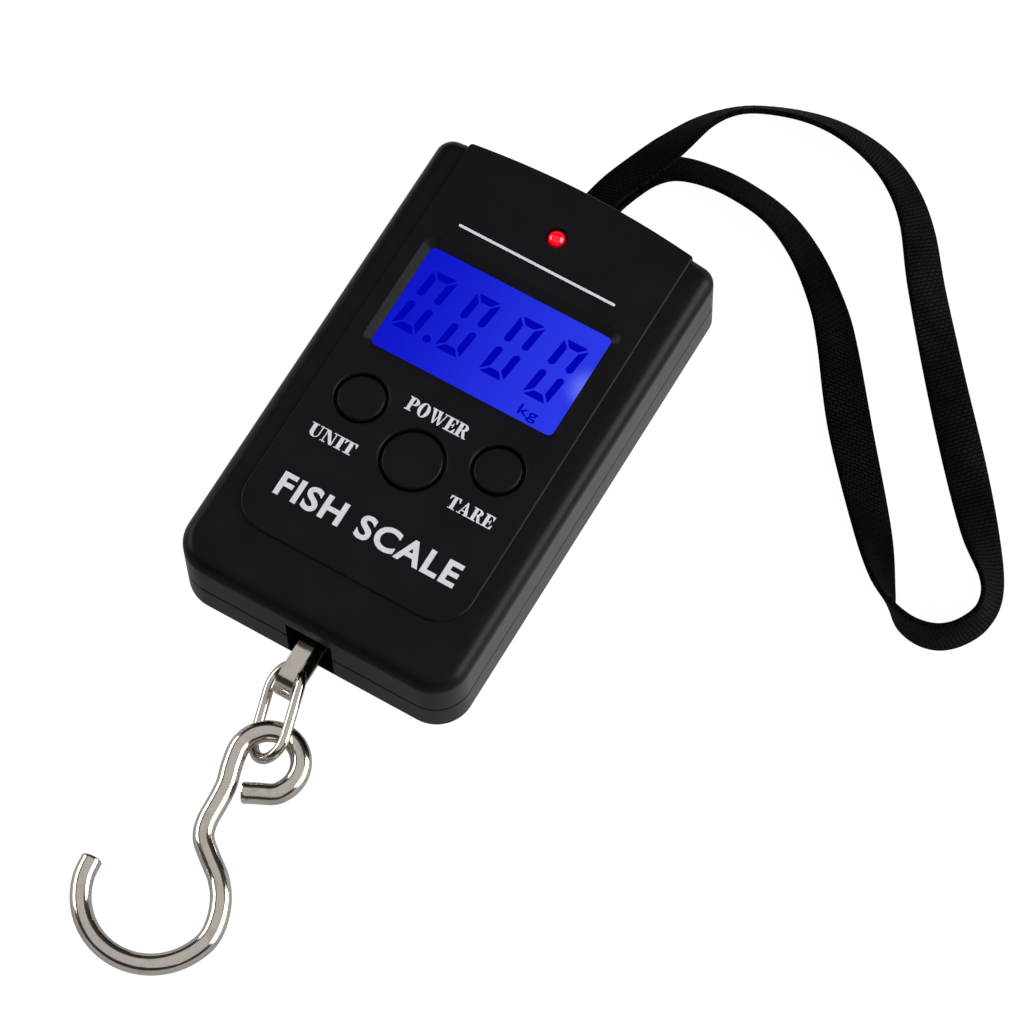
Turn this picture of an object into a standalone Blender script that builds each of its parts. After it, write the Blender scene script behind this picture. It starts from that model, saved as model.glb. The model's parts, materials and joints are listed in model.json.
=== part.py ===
"""Digital hanging scale for fish, lying on its back.

The origin is the centre of the case's back face. +Z leaves the display, +Y points to the strap and +X to the right.
Every size below is in millimetres; the shape functions turn them into metres.
"""

import math

import bmesh
import bpy
from mathutils import Matrix, Vector

MM = 0.001

# --- case ---
CASE_W = 54.0
CASE_BOTTOM_Y = -45.0
CASE_TOP_Y = 45.1          # at the corners of the arched top end
ARCH_RISE = 1.4            # how far the middle of the top end stands out
BOTTOM_CORNER_R = 6.5
TOP_CORNER_R = 4.2
PARTING_Z = 7.5
SHELL_GAP = 0.3            # between pieces that meet
FACE_Z = 18.0              # raised centre panel
MARGIN_Z = 17.6            # the face beside the panel
FLOOR_Z = 1.4              # inside of the back cover's floor
ROOF_Z = 16.0              # inside of the front face
FRONT_WALL = 1.5
BACK_WALL = 2.5
TONGUE_INSET = 1.8
TONGUE_TOP_Z = 8.8
FRONT_EDGE_R = 3.0
BACK_EDGE_R = 1.2

# --- raised panel on the front ---
PANEL_HALF_W = 21.9
PANEL_BOTTOM_Y = -34.6
PANEL_CORNER_R = 6.5

# --- display ---
WINDOW_W = 35.2
WINDOW_H = 20.8
WINDOW_Y = 14.7
WINDOW_BEVEL = 1.5
GLASS_Y = (1.8, 26.6)
GLASS_TOP_Z = 16.6
PCB_BOTTOM_Z = 12.4
PCB_TOP_Z = 13.1

# --- buttons: name, x, y, cap radius ---
BUTTONS = (
    ("unit", -13.25, -5.6, 4.1),
    ("power", 0.0, -11.1, 5.2),
    ("tare", 13.25, -5.6, 4.1),
)
BUTTON_CLEARANCE = 0.5
LED_Y = 36.4
LED_R = 1.6

# --- load line, from the strap pin to the hook ---
LOAD_Z = 6.0
STRAP_PIN_Y = 39.6
HANGER_PIN_Y = -32.5
HANGER_FOLD_Y = -49.8
HANGER_T = 1.0
HANGER_W = 2.9
HANGER_MID_R = 3.8
SLOT_HALF_W = 4.4
SLOT_TOP_Z = 12.3

# --- chain link: the centres of its two round ends, its bend radius and its roll about its own length ---
LINK_TOP = Vector((-0.5, -52.6, 4.95))
LINK_LOW = Vector((1.63, -60.43, 4.05))
LINK_BEND_R = 4.16
LINK_ROLL = math.radians(45.0)
LINK_WIRE_R = 0.9

# --- hook: its wire lies in a plane that rises gently towards the eye ---
HOOK_WIRE_R = 1.8
HOOK_EYE = (3.8, -64.8)
HOOK_EYE_R = 5.53
HOOK_BEND = (-0.74, -93.07)
HOOK_BEND_R = 12.0
HOOK_LOW_Y = -106.0
HOOK_LOW_Z = 1.88
HOOK_SLOPE = 0.05

# --- strap ---
STRAP_W = 8.5
STRAP_GATHERED_W = 5.6     # where it goes into the case
STRAP_GATHER_REACH = 22.0
STRAP_SLOT_HALF_W = 3.8
STRAP_T = 1.0
STRAP_WRAP_R = 2.3
STRAP_STEP = 3.0
FLOOR_GAP = 0.05           # under the lowest edge of the strap
# The strap's free route: x, y, z of its middle, and the angle of its width from level (degrees).
STRAP_ROUTE = (
    (0.1, 48.6, 8.3, -3.0),
    (0.5, 51.3, 8.1, -8.0),
    (1.4, 55.0, 7.8, -14.0),
    (3.6, 61.3, 7.2, -24.0),
    (5.1, 67.0, 6.2, -36.0),
    (7.1, 73.6, 5.0, -50.0),
    (10.0, 78.3, 4.2, -57.0),
    (14.0, 81.5, 3.8, -58.0),
    (21.4, 84.4, 3.7, -55.0),
    (28.7, 85.4, 3.6, -50.0),
    (36.5, 84.2, 3.4, -45.0),
    (43.1, 80.9, 3.3, -44.0),
    (49.1, 75.4, 3.3, -43.0),
    (56.0, 66.1, 3.1, -37.0),
    (66.8, 52.8, 2.7, -30.0),
    (77.0, 40.7, 2.6, -26.0),
    (85.6, 30.3, 3.1, -37.0),
    (91.8, 22.6, 3.9, -62.0),
    (93.2, 17.2, 4.1, -76.0),
    (91.6, 12.8, 4.1, -81.0),
    (88.6, 9.9, 4.1, -84.0),
    (84.5, 9.0, 4.1, -88.0),
    (80.1, 10.2, 4.1, -96.0),
    (76.0, 13.8, 3.9, -119.0),
    (69.2, 22.4, 3.0, -143.0),
    (57.4, 36.6, 2.3, -157.0),
    (48.0, 49.0, 2.7, -147.0),
    (42.9, 54.8, 3.0, -142.0),
    (35.3, 61.1, 3.2, -138.0),
    (27.3, 65.2, 3.3, -137.0),
    (18.8, 66.5, 3.4, -138.0),
    (12.0, 66.0, 3.5, -140.0),
    (6.9, 64.2, 3.7, -145.0),
    (3.6, 60.8, 4.0, -153.0),
    (1.6, 56.3, 4.1, -164.0),
    (0.4, 51.8, 3.9, -173.0),
    (0.1, 48.4, 3.7, -177.0),
)

# --- batteries, two AAA cells beside the load cell ---
CELL_X = 18.4
CELL_R = 5.25
CELL_LEN = 44.5
CELL_Z = 6.85
CELL_PLUS_Y = (-40.0, -41.5)   # lower ends of the left and the right cell
DOOR_X = (12.4, 24.2)
DOOR_Y = (-41.3, 3.7)

ROUND = 24                 # sides of a plain cylinder
CORNER_STEPS = 5

MATERIALS = {
    "black_abs": ((0.018, 0.018, 0.021), 0.42, 0.0),
    "button_abs": ((0.014, 0.014, 0.016), 0.38, 0.0),
    "lcd_glass": ((0.02, 0.03, 0.75), 0.12, 0.0),
    "light_guide": ((0.75, 0.80, 0.95), 0.3, 0.0),
    "grey_rubber": ((0.25, 0.25, 0.27), 0.8, 0.0),
    "white_plastic": ((0.80, 0.80, 0.78), 0.5, 0.0),
    "pcb_green": ((0.02, 0.16, 0.06), 0.45, 0.0),
    "epoxy": ((0.01, 0.01, 0.01), 0.35, 0.0),
    "red_led": ((0.85, 0.02, 0.02), 0.15, 0.0),
    "aluminium": ((0.72, 0.73, 0.75), 0.35, 1.0),
    "gauge_film": ((0.72, 0.42, 0.10), 0.4, 0.0),
    "nickel": ((0.66, 0.63, 0.59), 0.16, 1.0),
    "steel": ((0.55, 0.55, 0.56), 0.3, 1.0),
    "zinc": ((0.62, 0.62, 0.60), 0.38, 1.0),
    "webbing": ((0.012, 0.012, 0.012), 0.9, 0.0),
    "cell_label": ((0.10, 0.12, 0.15), 0.35, 0.4),
    "red_wire": ((0.6, 0.02, 0.02), 0.5, 0.0),
}


# ---------------------------------------------------------------- scene and materials

def clear_scene():
    for obj in list(bpy.data.objects):
        bpy.data.objects.remove(obj, do_unlink=True)


def new_collection(name):
    coll = bpy.data.collections.new(name)
    bpy.context.scene.collection.children.link(coll)
    return coll


clear_scene()
PARTS = new_collection("digital_fish_scale")
CUTTERS = new_collection("cutters")


def finish_of(slot):
    mat = bpy.data.materials.get(slot)
    if mat is None:
        colour, roughness, metallic = MATERIALS[slot]
        mat = bpy.data.materials.new(slot)
        mat.use_nodes = True
        shader = mat.node_tree.nodes["Principled BSDF"]
        shader.inputs["Base Color"].default_value = (*colour, 1.0)
        shader.inputs["Roughness"].default_value = roughness
        shader.inputs["Metallic"].default_value = metallic
        mat.diffuse_color = (*colour, 1.0)
    return mat


def add_object(name, data, slot=None):
    """A part when it has a material slot, and a hidden cutter when it has none."""
    obj = bpy.data.objects.new(name, data)
    if slot is None:
        CUTTERS.objects.link(obj)
        obj.hide_render = True
        obj.display_type = "WIRE"
    else:
        PARTS.objects.link(obj)
        data.materials.append(finish_of(slot))
    return obj


def mesh_object(name, bm, slot=None):
    mesh = bpy.data.meshes.new(name)
    bm.to_mesh(mesh)
    bm.free()
    return add_object(name, mesh, slot)


def set_origin(obj, point):
    """Moves an object's origin to a point given in millimetres, and leaves its shape where it is."""
    shift = Vector(point) * MM
    obj.data.transform(Matrix.Translation(-shift))
    obj.location = shift


# ---------------------------------------------------------------- basic shapes

def box(name, x, y, z, slot=None, edge=0.0):
    """A box between the given low and high limits, with rounded edges where edge is more than 0."""
    bm = bmesh.new()
    bmesh.ops.create_cube(bm, size=1.0)
    size = Vector((x[1] - x[0], y[1] - y[0], z[1] - z[0])) * MM
    centre = Vector((x[1] + x[0], y[1] + y[0], z[1] + z[0])) * MM / 2
    bmesh.ops.scale(bm, vec=size, verts=bm.verts)
    bmesh.ops.translate(bm, vec=centre, verts=bm.verts)
    if edge > 0.0:
        bmesh.ops.bevel(bm, geom=bm.edges[:], offset=edge * MM, segments=2, affect="EDGES", profile=0.5)
    return mesh_object(name, bm, slot)


def cylinder(name, centre, radius, length, axis="Z", slot=None, sides=ROUND, end_radius=None):
    """A cylinder or cone about the given axis, centred on centre."""
    turn = {"Z": Matrix.Identity(4), "Y": Matrix.Rotation(math.pi / 2, 4, "X"),
            "X": Matrix.Rotation(math.pi / 2, 4, "Y")}[axis]
    bm = bmesh.new()
    top = radius if end_radius is None else end_radius
    bmesh.ops.create_cone(bm, cap_ends=True, segments=sides, radius1=radius * MM, radius2=top * MM,
                          depth=length * MM, matrix=Matrix.Translation(Vector(centre) * MM) @ turn)
    return mesh_object(name, bm, slot)


def turned(name, centre, profile, slot=None, axis="Z", steps=ROUND):
    """A solid of revolution. The profile lists (radius, height) from the top of the axis down to its foot."""
    mesh = bpy.data.meshes.new(name)
    points = [(r * MM, 0.0, h * MM) for r, h in profile]
    mesh.from_pydata(points, [(i, i + 1) for i in range(len(points) - 1)], [])
    obj = add_object(name, mesh, slot)
    screw = obj.modifiers.new("Screw", "SCREW")
    screw.steps = steps
    screw.render_steps = steps
    screw.use_merge_vertices = True
    screw.merge_threshold = 0.00001
    screw.use_smooth_shade = True
    if axis == "Y":
        obj.rotation_euler = (-math.pi / 2, 0.0, 0.0)
    obj.location = Vector(centre) * MM
    return obj


def to_mesh(obj):
    """The object as a plain welded mesh, with its modifiers or its curve worked out."""
    bpy.context.view_layer.update()
    graph = bpy.context.evaluated_depsgraph_get()
    mesh = bpy.data.meshes.new_from_object(obj.evaluated_get(graph))
    bm = bmesh.new()
    bm.from_mesh(mesh)
    bmesh.ops.remove_doubles(bm, verts=bm.verts, dist=0.000002)
    bm.to_mesh(mesh)
    bm.free()
    name = obj.name
    fresh = bpy.data.objects.new(name + "_mesh", mesh)
    for coll in obj.users_collection:
        coll.objects.link(fresh)
    fresh.matrix_world = obj.matrix_world.copy()
    fresh.hide_render = obj.hide_render
    fresh.display_type = obj.display_type
    bpy.data.objects.remove(obj, do_unlink=True)
    fresh.name = name
    return fresh


def prism(name, outline, low, high, slot=None, top_edge=0.0, low_edge=0.0, edge_steps=3):
    """A flat outline in X and Y, made solid from low to high in Z. Its rims may be rounded."""
    curve = bpy.data.curves.new(name, "CURVE")
    curve.dimensions = "2D"
    curve.fill_mode = "BOTH"
    curve.extrude = (high - low) * MM / 2
    spline = curve.splines.new("POLY")
    spline.points.add(len(outline) - 1)
    for point, (x, y) in zip(spline.points, outline):
        point.co = (x * MM, y * MM, 0.0, 1.0)
    spline.use_cyclic_u = True
    obj = add_object(name, curve, slot)
    obj.location = (0.0, 0.0, (high + low) * MM / 2)
    obj = to_mesh(obj)
    bm = bmesh.new()
    bm.from_mesh(obj.data)
    bmesh.ops.dissolve_limit(bm, angle_limit=math.radians(1.0), verts=bm.verts, edges=bm.edges)
    half = (high - low) * MM / 2
    for height, radius in ((half, top_edge), (-half, low_edge)):
        if radius > 0.0:
            rim = [e for e in bm.edges if all(abs(v.co.z - height) < 1e-6 for v in e.verts)]
            bmesh.ops.bevel(bm, geom=rim, offset=radius * MM, segments=edge_steps, affect="EDGES", profile=0.5)
    bm.to_mesh(obj.data)
    bm.free()
    return obj


def wire(name, points, radius, slot, closed=False):
    """A round wire or tube through points in millimetres."""
    curve = bpy.data.curves.new(name, "CURVE")
    curve.dimensions = "3D"
    curve.bevel_depth = radius * MM
    curve.bevel_resolution = 2
    curve.use_fill_caps = True
    spline = curve.splines.new("POLY")
    spline.points.add(len(points) - 1)
    for point, co in zip(spline.points, points):
        point.co = (*(Vector(co) * MM), 1.0)
    spline.use_cyclic_u = closed
    return add_object(name, curve, slot)


def arc(centre, radius, start, end, steps):
    """Points of an arc in a plane, with its angles in degrees."""
    angles = [math.radians(start + (end - start) * i / steps) for i in range(steps + 1)]
    return [(centre[0] + radius * math.cos(a), centre[1] + radius * math.sin(a)) for a in angles]


def smooth_route(points, step):
    """Evenly spaced points on a smooth curve through the given points, whatever numbers each one holds."""
    rows = [Vector(p) for p in points]
    rows = [2 * rows[0] - rows[1]] + rows + [2 * rows[-1] - rows[-2]]
    fine = []
    for p0, p1, p2, p3 in zip(rows, rows[1:], rows[2:], rows[3:]):
        for i in range(12):
            t = i / 12
            fine.append(0.5 * (2 * p1 + (p2 - p0) * t + (2 * p0 - 5 * p1 + 4 * p2 - p3) * t * t
                               + (3 * p1 - p0 - 3 * p2 + p3) * t ** 3))
    fine.append(rows[-2])
    lengths = [0.0]
    for a, b in zip(fine, fine[1:]):
        lengths.append(lengths[-1] + (b - a).xyz.length)
    count = max(2, round(lengths[-1] / step))
    even, k = [], 0
    for i in range(count + 1):
        goal = lengths[-1] * i / count
        while k < len(fine) - 2 and lengths[k + 1] < goal:
            k += 1
        share = (goal - lengths[k]) / max(lengths[k + 1] - lengths[k], 1e-9)
        even.append(fine[k].lerp(fine[k + 1], share))
    return even


def combine(obj, operation, others):
    for other in others:
        boolean = obj.modifiers.new(other.name, "BOOLEAN")
        boolean.operation = operation
        boolean.solver = "EXACT"
        boolean.object = other
    return obj


def cut(obj, *others):
    return combine(obj, "DIFFERENCE", others)


def join(obj, *others):
    return combine(obj, "UNION", others)


# ---------------------------------------------------------------- outlines

def case_outline(inset):
    """The case from above, moved in by inset: round corners, fuller at the bottom end, and an arched top end."""
    half = CASE_W / 2 - inset
    low_r = BOTTOM_CORNER_R - 1.5 * inset
    r = TOP_CORNER_R - inset
    low = CASE_BOTTOM_Y + inset
    high = CASE_TOP_Y - inset
    points = arc((-half + low_r, low + low_r), low_r, 180, 270, CORNER_STEPS)
    points += arc((half - low_r, low + low_r), low_r, 270, 360, CORNER_STEPS)
    points += arc((half - r, high - r), r, 0, 80, CORNER_STEPS)
    reach = half - r
    for i in range(1, 8):
        x = reach * (1 - i / 4)
        points.append((x, high + ARCH_RISE * (1 - (x / reach) ** 2)))
    points += arc((-half + r, high - r), r, 100, 180, CORNER_STEPS)
    return points


def panel_outline():
    """The raised panel from above: it follows the arched top end and has round lower corners."""
    half, low, r = PANEL_HALF_W, PANEL_BOTTOM_Y, PANEL_CORNER_R
    points = arc((-half + r, low + r), r, 180, 270, CORNER_STEPS)
    points += arc((half - r, low + r), r, 270, 360, CORNER_STEPS)
    for i in range(9):
        x = half * (1 - i / 4)
        points.append((x, CASE_TOP_Y - 0.1 + ARCH_RISE * (1 - (x / half) ** 2)))
    return points


def rectangle(x, y, r):
    """A rectangle with round corners."""
    points = arc((x[0] + r, y[0] + r), r, 180, 270, 4)
    points += arc((x[1] - r, y[0] + r), r, 270, 360, 4)
    points += arc((x[1] - r, y[1] - r), r, 0, 90, 4)
    points += arc((x[0] + r, y[1] - r), r, 90, 180, 4)
    return points


# ---------------------------------------------------------------- case

CASE_SCREWS = ((-22.0, 39.0), (22.0, 39.0), (-8.5, -39.7), (8.5, -39.7))
PCB_SCREWS = ((-21.5, 32.0), (21.5, 32.0), (-9.6, -19.2), (9.6, -19.2))
CELL_SCREWS = ((-5.3, 14.0), (5.3, 14.0))


def window_cutter():
    """The display opening: upright walls low down, then a sloping bevel out to the face."""
    low = rectangle((-WINDOW_W / 2, WINDOW_W / 2), (WINDOW_Y - WINDOW_H / 2, WINDOW_Y + WINDOW_H / 2), 1.0)
    opening = prism("window_opening", low, ROOF_Z - 2, FACE_Z + 2)
    sill, over = GLASS_TOP_Z + 0.45, FACE_Z + 0.5
    bevel = box("window_bevel", (-WINDOW_W / 2, WINDOW_W / 2),
                (WINDOW_Y - WINDOW_H / 2, WINDOW_Y + WINDOW_H / 2), (sill, over))
    spread = WINDOW_BEVEL * (over - sill) / (FACE_Z - sill)
    for vert in bevel.data.vertices:
        if vert.co.z > FACE_Z * MM:
            vert.co.x += math.copysign(spread * MM, vert.co.x)
            vert.co.y += math.copysign(spread * MM, vert.co.y - WINDOW_Y * MM)
    return opening, bevel


def button_cutter(name, x, y, cap_r):
    """A round hole with a small chamfer at the face."""
    hole = cap_r + BUTTON_CLEARANCE
    top = FACE_Z + 1.0
    profile = ((0.0, top), (hole + 1.4, top), (hole, FACE_Z - 0.4), (hole, ROOF_Z - 2.0), (0.0, ROOF_Z - 2.0))
    return turned(name + "_hole", (x, y, 0.0), profile)


def front_cover():
    inner = case_outline(FRONT_WALL)
    cover = prism("front_cover", case_outline(0.0), PARTING_Z + SHELL_GAP / 2, MARGIN_Z, "black_abs",
                  top_edge=FRONT_EDGE_R)
    join(cover, prism("panel_block", panel_outline(), 12.0, FACE_Z, top_edge=0.4, edge_steps=2))
    cut(cover, prism("front_cavity", inner, PARTING_Z - 1.0, ROOF_Z, top_edge=1.2),
        box("glass_pocket", (-19.6, 19.6), (GLASS_Y[0] - 0.4, GLASS_Y[1] + 0.4), (ROOF_Z - 1.0, GLASS_TOP_Z + 0.3)))
    for i, (x, y) in enumerate(CASE_SCREWS):
        join(cover, cylinder(f"front_boss_{i}", (x, y, 12.2), 2.3, 8.6, sides=18))
    for i, (x, y) in enumerate(PCB_SCREWS):
        join(cover, cylinder(f"pcb_post_{i}", (x, y, 15.1), 2.0, 2.6, sides=18))
    for i, (x, y) in enumerate(CASE_SCREWS):
        cut(cover, cylinder(f"front_pilot_{i}", (x, y, 10.5), 1.35, 7.4, sides=12))
    for i, (x, y) in enumerate(PCB_SCREWS):
        cut(cover, cylinder(f"pcb_pilot_{i}", (x, y, 14.5), 1.0, 2.6, sides=12))
    cut(cover, *window_cutter())
    for name, x, y, cap_r in BUTTONS:
        cut(cover, button_cutter(name, x, y, cap_r))
    cut(cover, cylinder("led_hole", (0.0, LED_Y, FACE_Z), LED_R + 0.25, 6.0, sides=24))
    cut(cover, box("front_slot", (-SLOT_HALF_W, SLOT_HALF_W), (CASE_BOTTOM_Y - 2, CASE_BOTTOM_Y + 4),
                   (PARTING_Z - 2, SLOT_TOP_Z)))
    cut(cover, box("front_strap_slot", (-STRAP_SLOT_HALF_W, STRAP_SLOT_HALF_W), (CASE_TOP_Y - 4, CASE_TOP_Y + 4),
                   (PARTING_Z - 2, 9.7)))
    return cover


def back_cover():
    cover = prism("back_cover", case_outline(0.0), 0.0, PARTING_Z - SHELL_GAP / 2, "black_abs",
                  low_edge=BACK_EDGE_R)
    join(cover, prism("tongue", case_outline(TONGUE_INSET), 4.0, TONGUE_TOP_Z))
    cut(cover, prism("back_cavity", case_outline(BACK_WALL), FLOOR_Z, TONGUE_TOP_Z + 1.0))
    for side in (-1, 1):
        x0, x1 = sorted((side * 11.0, side * 12.1))
        join(cover, box(f"bay_wall_{side}", (x0, x1), (-42.9, 6.4), (FLOOR_Z - 0.6, 10.2)))
        x0, x1 = sorted((side * 11.4, side * 25.0))
        join(cover, box(f"bay_end_{side}", (x0, x1), (5.5, 6.6), (FLOOR_Z - 0.6, 11.0)))
    for i, (x, y) in enumerate(CASE_SCREWS):
        join(cover, cylinder(f"back_boss_{i}", (x, y, 4.1), 2.9, 6.4, sides=24))
    for i, (x, y) in enumerate(CELL_SCREWS):
        join(cover, cylinder(f"cell_boss_{i}", (x, y, 1.75), 2.6, 1.9, sides=24))
    for i, (x, y) in enumerate(CASE_SCREWS):
        cut(cover, cylinder(f"head_recess_{i}", (x, y, 0.6), 2.35, 3.6, sides=24))
        cut(cover, cylinder(f"back_clearance_{i}", (x, y, 5.0), 1.4, 9.0, sides=12))
    for i, (x, y) in enumerate(CELL_SCREWS):
        cut(cover, cylinder(f"cell_pilot_{i}", (x, y, 2.4), 1.25, 3.2, sides=12))
    for side in (-1, 1):
        x0, x1 = sorted((side * DOOR_X[0], side * DOOR_X[1]))
        cut(cover, prism(f"door_opening_{side}", rectangle((x0, x1), DOOR_Y, 1.0), -1.0, FLOOR_Z + 1.0))
    cut(cover, box("back_slot", (-SLOT_HALF_W, SLOT_HALF_W), (CASE_BOTTOM_Y - 2, CASE_BOTTOM_Y + BACK_WALL),
                   (FLOOR_Z, TONGUE_TOP_Z + 1.0)))
    cut(cover, box("back_strap_slot", (-STRAP_SLOT_HALF_W, STRAP_SLOT_HALF_W),
                   (CASE_TOP_Y - 4, CASE_TOP_Y + 4), (2.4, TONGUE_TOP_Z + 1.0)))
    return cover


def battery_door(name, side):
    """A push-fit cover over one cell. Two ribs grip the bay, and a groove near its upper end takes a fingernail."""
    x0, x1 = sorted((side * (DOOR_X[0] + 0.3), side * (DOOR_X[1] - 0.3)))
    y0, y1 = DOOR_Y[0] + 0.3, DOOR_Y[1] - 0.3
    middle = (x0 + x1) / 2
    door = prism(name, rectangle((x0, x1), (y0, y1), 0.8), 0.05, 1.35, "black_abs", low_edge=0.2, edge_steps=1)
    for i, (rib_low, rib_high) in enumerate(((x0 + 0.1, x0 + 0.9), (x1 - 0.9, x1 - 0.1))):
        join(door, box(f"{name}_rib_{i}", (rib_low, rib_high), (y0 + 4.0, y1 - 4.0), (0.7, 3.4)))
    groove = turned(name + "_groove", (middle, y1 - 5.0, 0.0), ((0.0, 0.75), (2.4, 0.5), (3.6, -0.6), (0.0, -0.6)))
    return cut(door, groove)


# ---------------------------------------------------------------- electronics

def display():
    low, high = GLASS_Y
    box("lcd_glass", (-19.2, 19.2), GLASS_Y, (15.2, GLASS_TOP_Z), "lcd_glass")
    box("backlight", (-18.2, 18.2), (low + 2.2, high - 0.6), (13.4, 14.9), "light_guide", edge=0.2)
    box("zebra_strip", (-16.0, 16.0), (low + 0.2, low + 1.7), (13.4, 14.9), "grey_rubber")
    frame = box("lcd_frame", (-20.8, 20.8), (low - 1.4, high + 1.4), (13.4, 15.7), "white_plastic")
    cut(frame, box("lcd_frame_hole", (-19.5, 19.5), (low - 0.3, high + 0.3), (12.0, 17.0)))


def circuit_board():
    outline = ((-24.2, -22.0), (24.2, -22.0), (24.2, 35.6), (18.4, 35.6), (18.4, 41.2), (-18.4, 41.2),
               (-18.4, 35.6), (-24.2, 35.6))
    board = prism("pcb", outline, PCB_BOTTOM_Z, PCB_TOP_Z, "pcb_green")
    for i, (x, y) in enumerate(PCB_SCREWS):
        cut(board, cylinder(f"pcb_hole_{i}", (x, y, PCB_TOP_Z), 1.2, 4.0, sides=12))
    turned("chip_blob", (0.0, -2.5, 11.2), ((0.0, 0.9), (4.2, 0.9), (4.0, 0.5), (3.0, 0.15), (1.4, 0.0), (0.0, 0.0)),
           "epoxy", steps=24)


def indicator():
    """A 3 mm lamp: a domed body on a wider foot."""
    dome = [(LED_R * math.sin(math.radians(a)), 3.6 + LED_R * math.cos(math.radians(a))) for a in range(0, 91, 15)]
    profile = [(0.0, dome[0][1])] + dome[1:] + [(LED_R, 1.0), (1.95, 1.0), (1.95, 0.0), (0.0, 0.0)]
    turned("led", (0.0, LED_Y, PCB_TOP_Z + 0.4), profile, "red_led", steps=24)


def push_button(name, x, y, cap_r):
    """A cap with a soft top edge, a flange behind the face, and a post that meets its switch."""
    profile = ((0.0, 18.05), (cap_r - 1.2, 18.05), (cap_r - 0.35, 17.95), (cap_r, 17.6), (cap_r, 15.7),
               (cap_r + 0.9, 15.7), (cap_r + 0.9, 15.0), (cap_r - 0.4, 15.0), (cap_r - 0.4, 16.6), (1.3, 16.6),
               (1.3, 15.3), (0.0, 15.3))
    turned(name + "_button", (x, y, 0.0), profile, "button_abs")
    switch = box(name + "_switch", (x - 2.55, x + 2.55), (y - 2.55, y + 2.55), (13.4, 14.3), "zinc", edge=0.15)
    join(switch, cylinder(name + "_plunger", (x, y, 14.3), 1.1, 1.0, sides=20))


def screw_piece(name, x, y, head_z, head_r, head_h, shank_r, length, points_up=True):
    """A pan-head screw with a cross recess. Its head's outer face is at head_z."""
    side = 1 if points_up else -1
    total = head_h + length
    profile = [(0.0, total), (shank_r * 0.5, total), (shank_r, total - 0.8), (shank_r, head_h),
               (head_r, head_h), (head_r, 0.4), (head_r - 0.4, 0.0), (0.0, 0.0)]
    profile = [(r, head_z + side * h) for r, h in profile]
    body = turned(name, (x, y, 0.0), profile if points_up else profile[::-1], "steel", steps=14)
    depth = sorted((head_z - side * 1.0, head_z + side * head_h * 0.6))
    arm, half = head_r * 0.55, 0.22
    cut(body, box(name + "_cross_a", (x - arm, x + arm), (y - half, y + half), depth))
    cut(body, box(name + "_cross_b", (x - half, x + half), (y - arm, y + arm), depth))


# ---------------------------------------------------------------- load line

def load_cell():
    """An S-shaped aluminium spring: two side slots and a window leave a bending beam in the middle."""
    low, high = LOAD_Z - 3.0, LOAD_Z + 3.0
    cell = box("load_cell", (-8.8, 8.8), (-36.2, 20.5), (low, high), "aluminium", edge=0.3)
    cut(cell, box("cell_slot_low", (-3.4, 10.0), (-23.2, -22.0), (0.0, 12.0)),
        box("cell_slot_high", (-10.0, 3.4), (4.6, 5.8), (0.0, 12.0)),
        prism("cell_window", rectangle((-5.2, 5.2), (-13.6, -3.8), 2.0), 0.0, 12.0),
        cylinder("cell_pin_hole", (0.0, HANGER_PIN_Y, LOAD_Z), 1.5, 12.0, sides=24),
        cylinder("cell_bolt_hole", (0.0, 17.0, LOAD_Z), 1.7, 10.0, axis="Y", sides=20))
    for i, (x, y) in enumerate(CELL_SCREWS):
        cut(cell, cylinder(f"cell_screw_hole_{i}", (x, y, LOAD_Z), 1.5, 12.0, sides=20))
    box("strain_gauge_upper", (-2.6, 2.6), (-4.5, -4.1), (4.2, 7.8), "gauge_film")
    box("strain_gauge_lower", (-2.6, 2.6), (-13.3, -12.9), (4.2, 7.8), "gauge_film")
    route = smooth_route(((0.0, -8.6, 6.4), (0.3, -8.8, 8.6), (2.2, -9.8, 10.4), (4.6, -11.8, 11.2),
                          (7.0, -14.0, 11.6)), 1.2)
    wire("cell_cable", route, 0.6, "red_wire")


def strap_anchor():
    """A U bracket bolted to the top of the load cell, with the pin that the strap goes round."""
    arm_out, arm_in, back, front, end = 7.1, 5.9, 20.9, 22.2, 42.2
    outline = ((-arm_out, end), (-arm_out, back), (arm_out, back), (arm_out, end), (arm_in, end), (arm_in, front),
               (-arm_in, front), (-arm_in, end))
    bracket = prism("strap_bracket", outline, 3.2, 8.8, "steel")
    cut(bracket, cylinder("bracket_pin_hole", (0.0, STRAP_PIN_Y, LOAD_Z), 1.8, 20.0, axis="X", sides=24),
        cylinder("bracket_bolt_hole", (0.0, 21.5, LOAD_Z), 1.7, 4.0, axis="Y", sides=20))
    cylinder("strap_pin", (0.0, STRAP_PIN_Y, LOAD_Z), 1.5, 15.0, axis="X", slot="steel", sides=24)
    profile = ((0.0, 24.6), (2.1, 24.6), (2.5, 24.2), (2.5, 22.5), (1.4, 22.5), (1.4, 13.0), (0.0, 13.0))
    turned("bracket_bolt", (0.0, 0.0, LOAD_Z), profile, "steel", axis="Y", steps=24)


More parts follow.
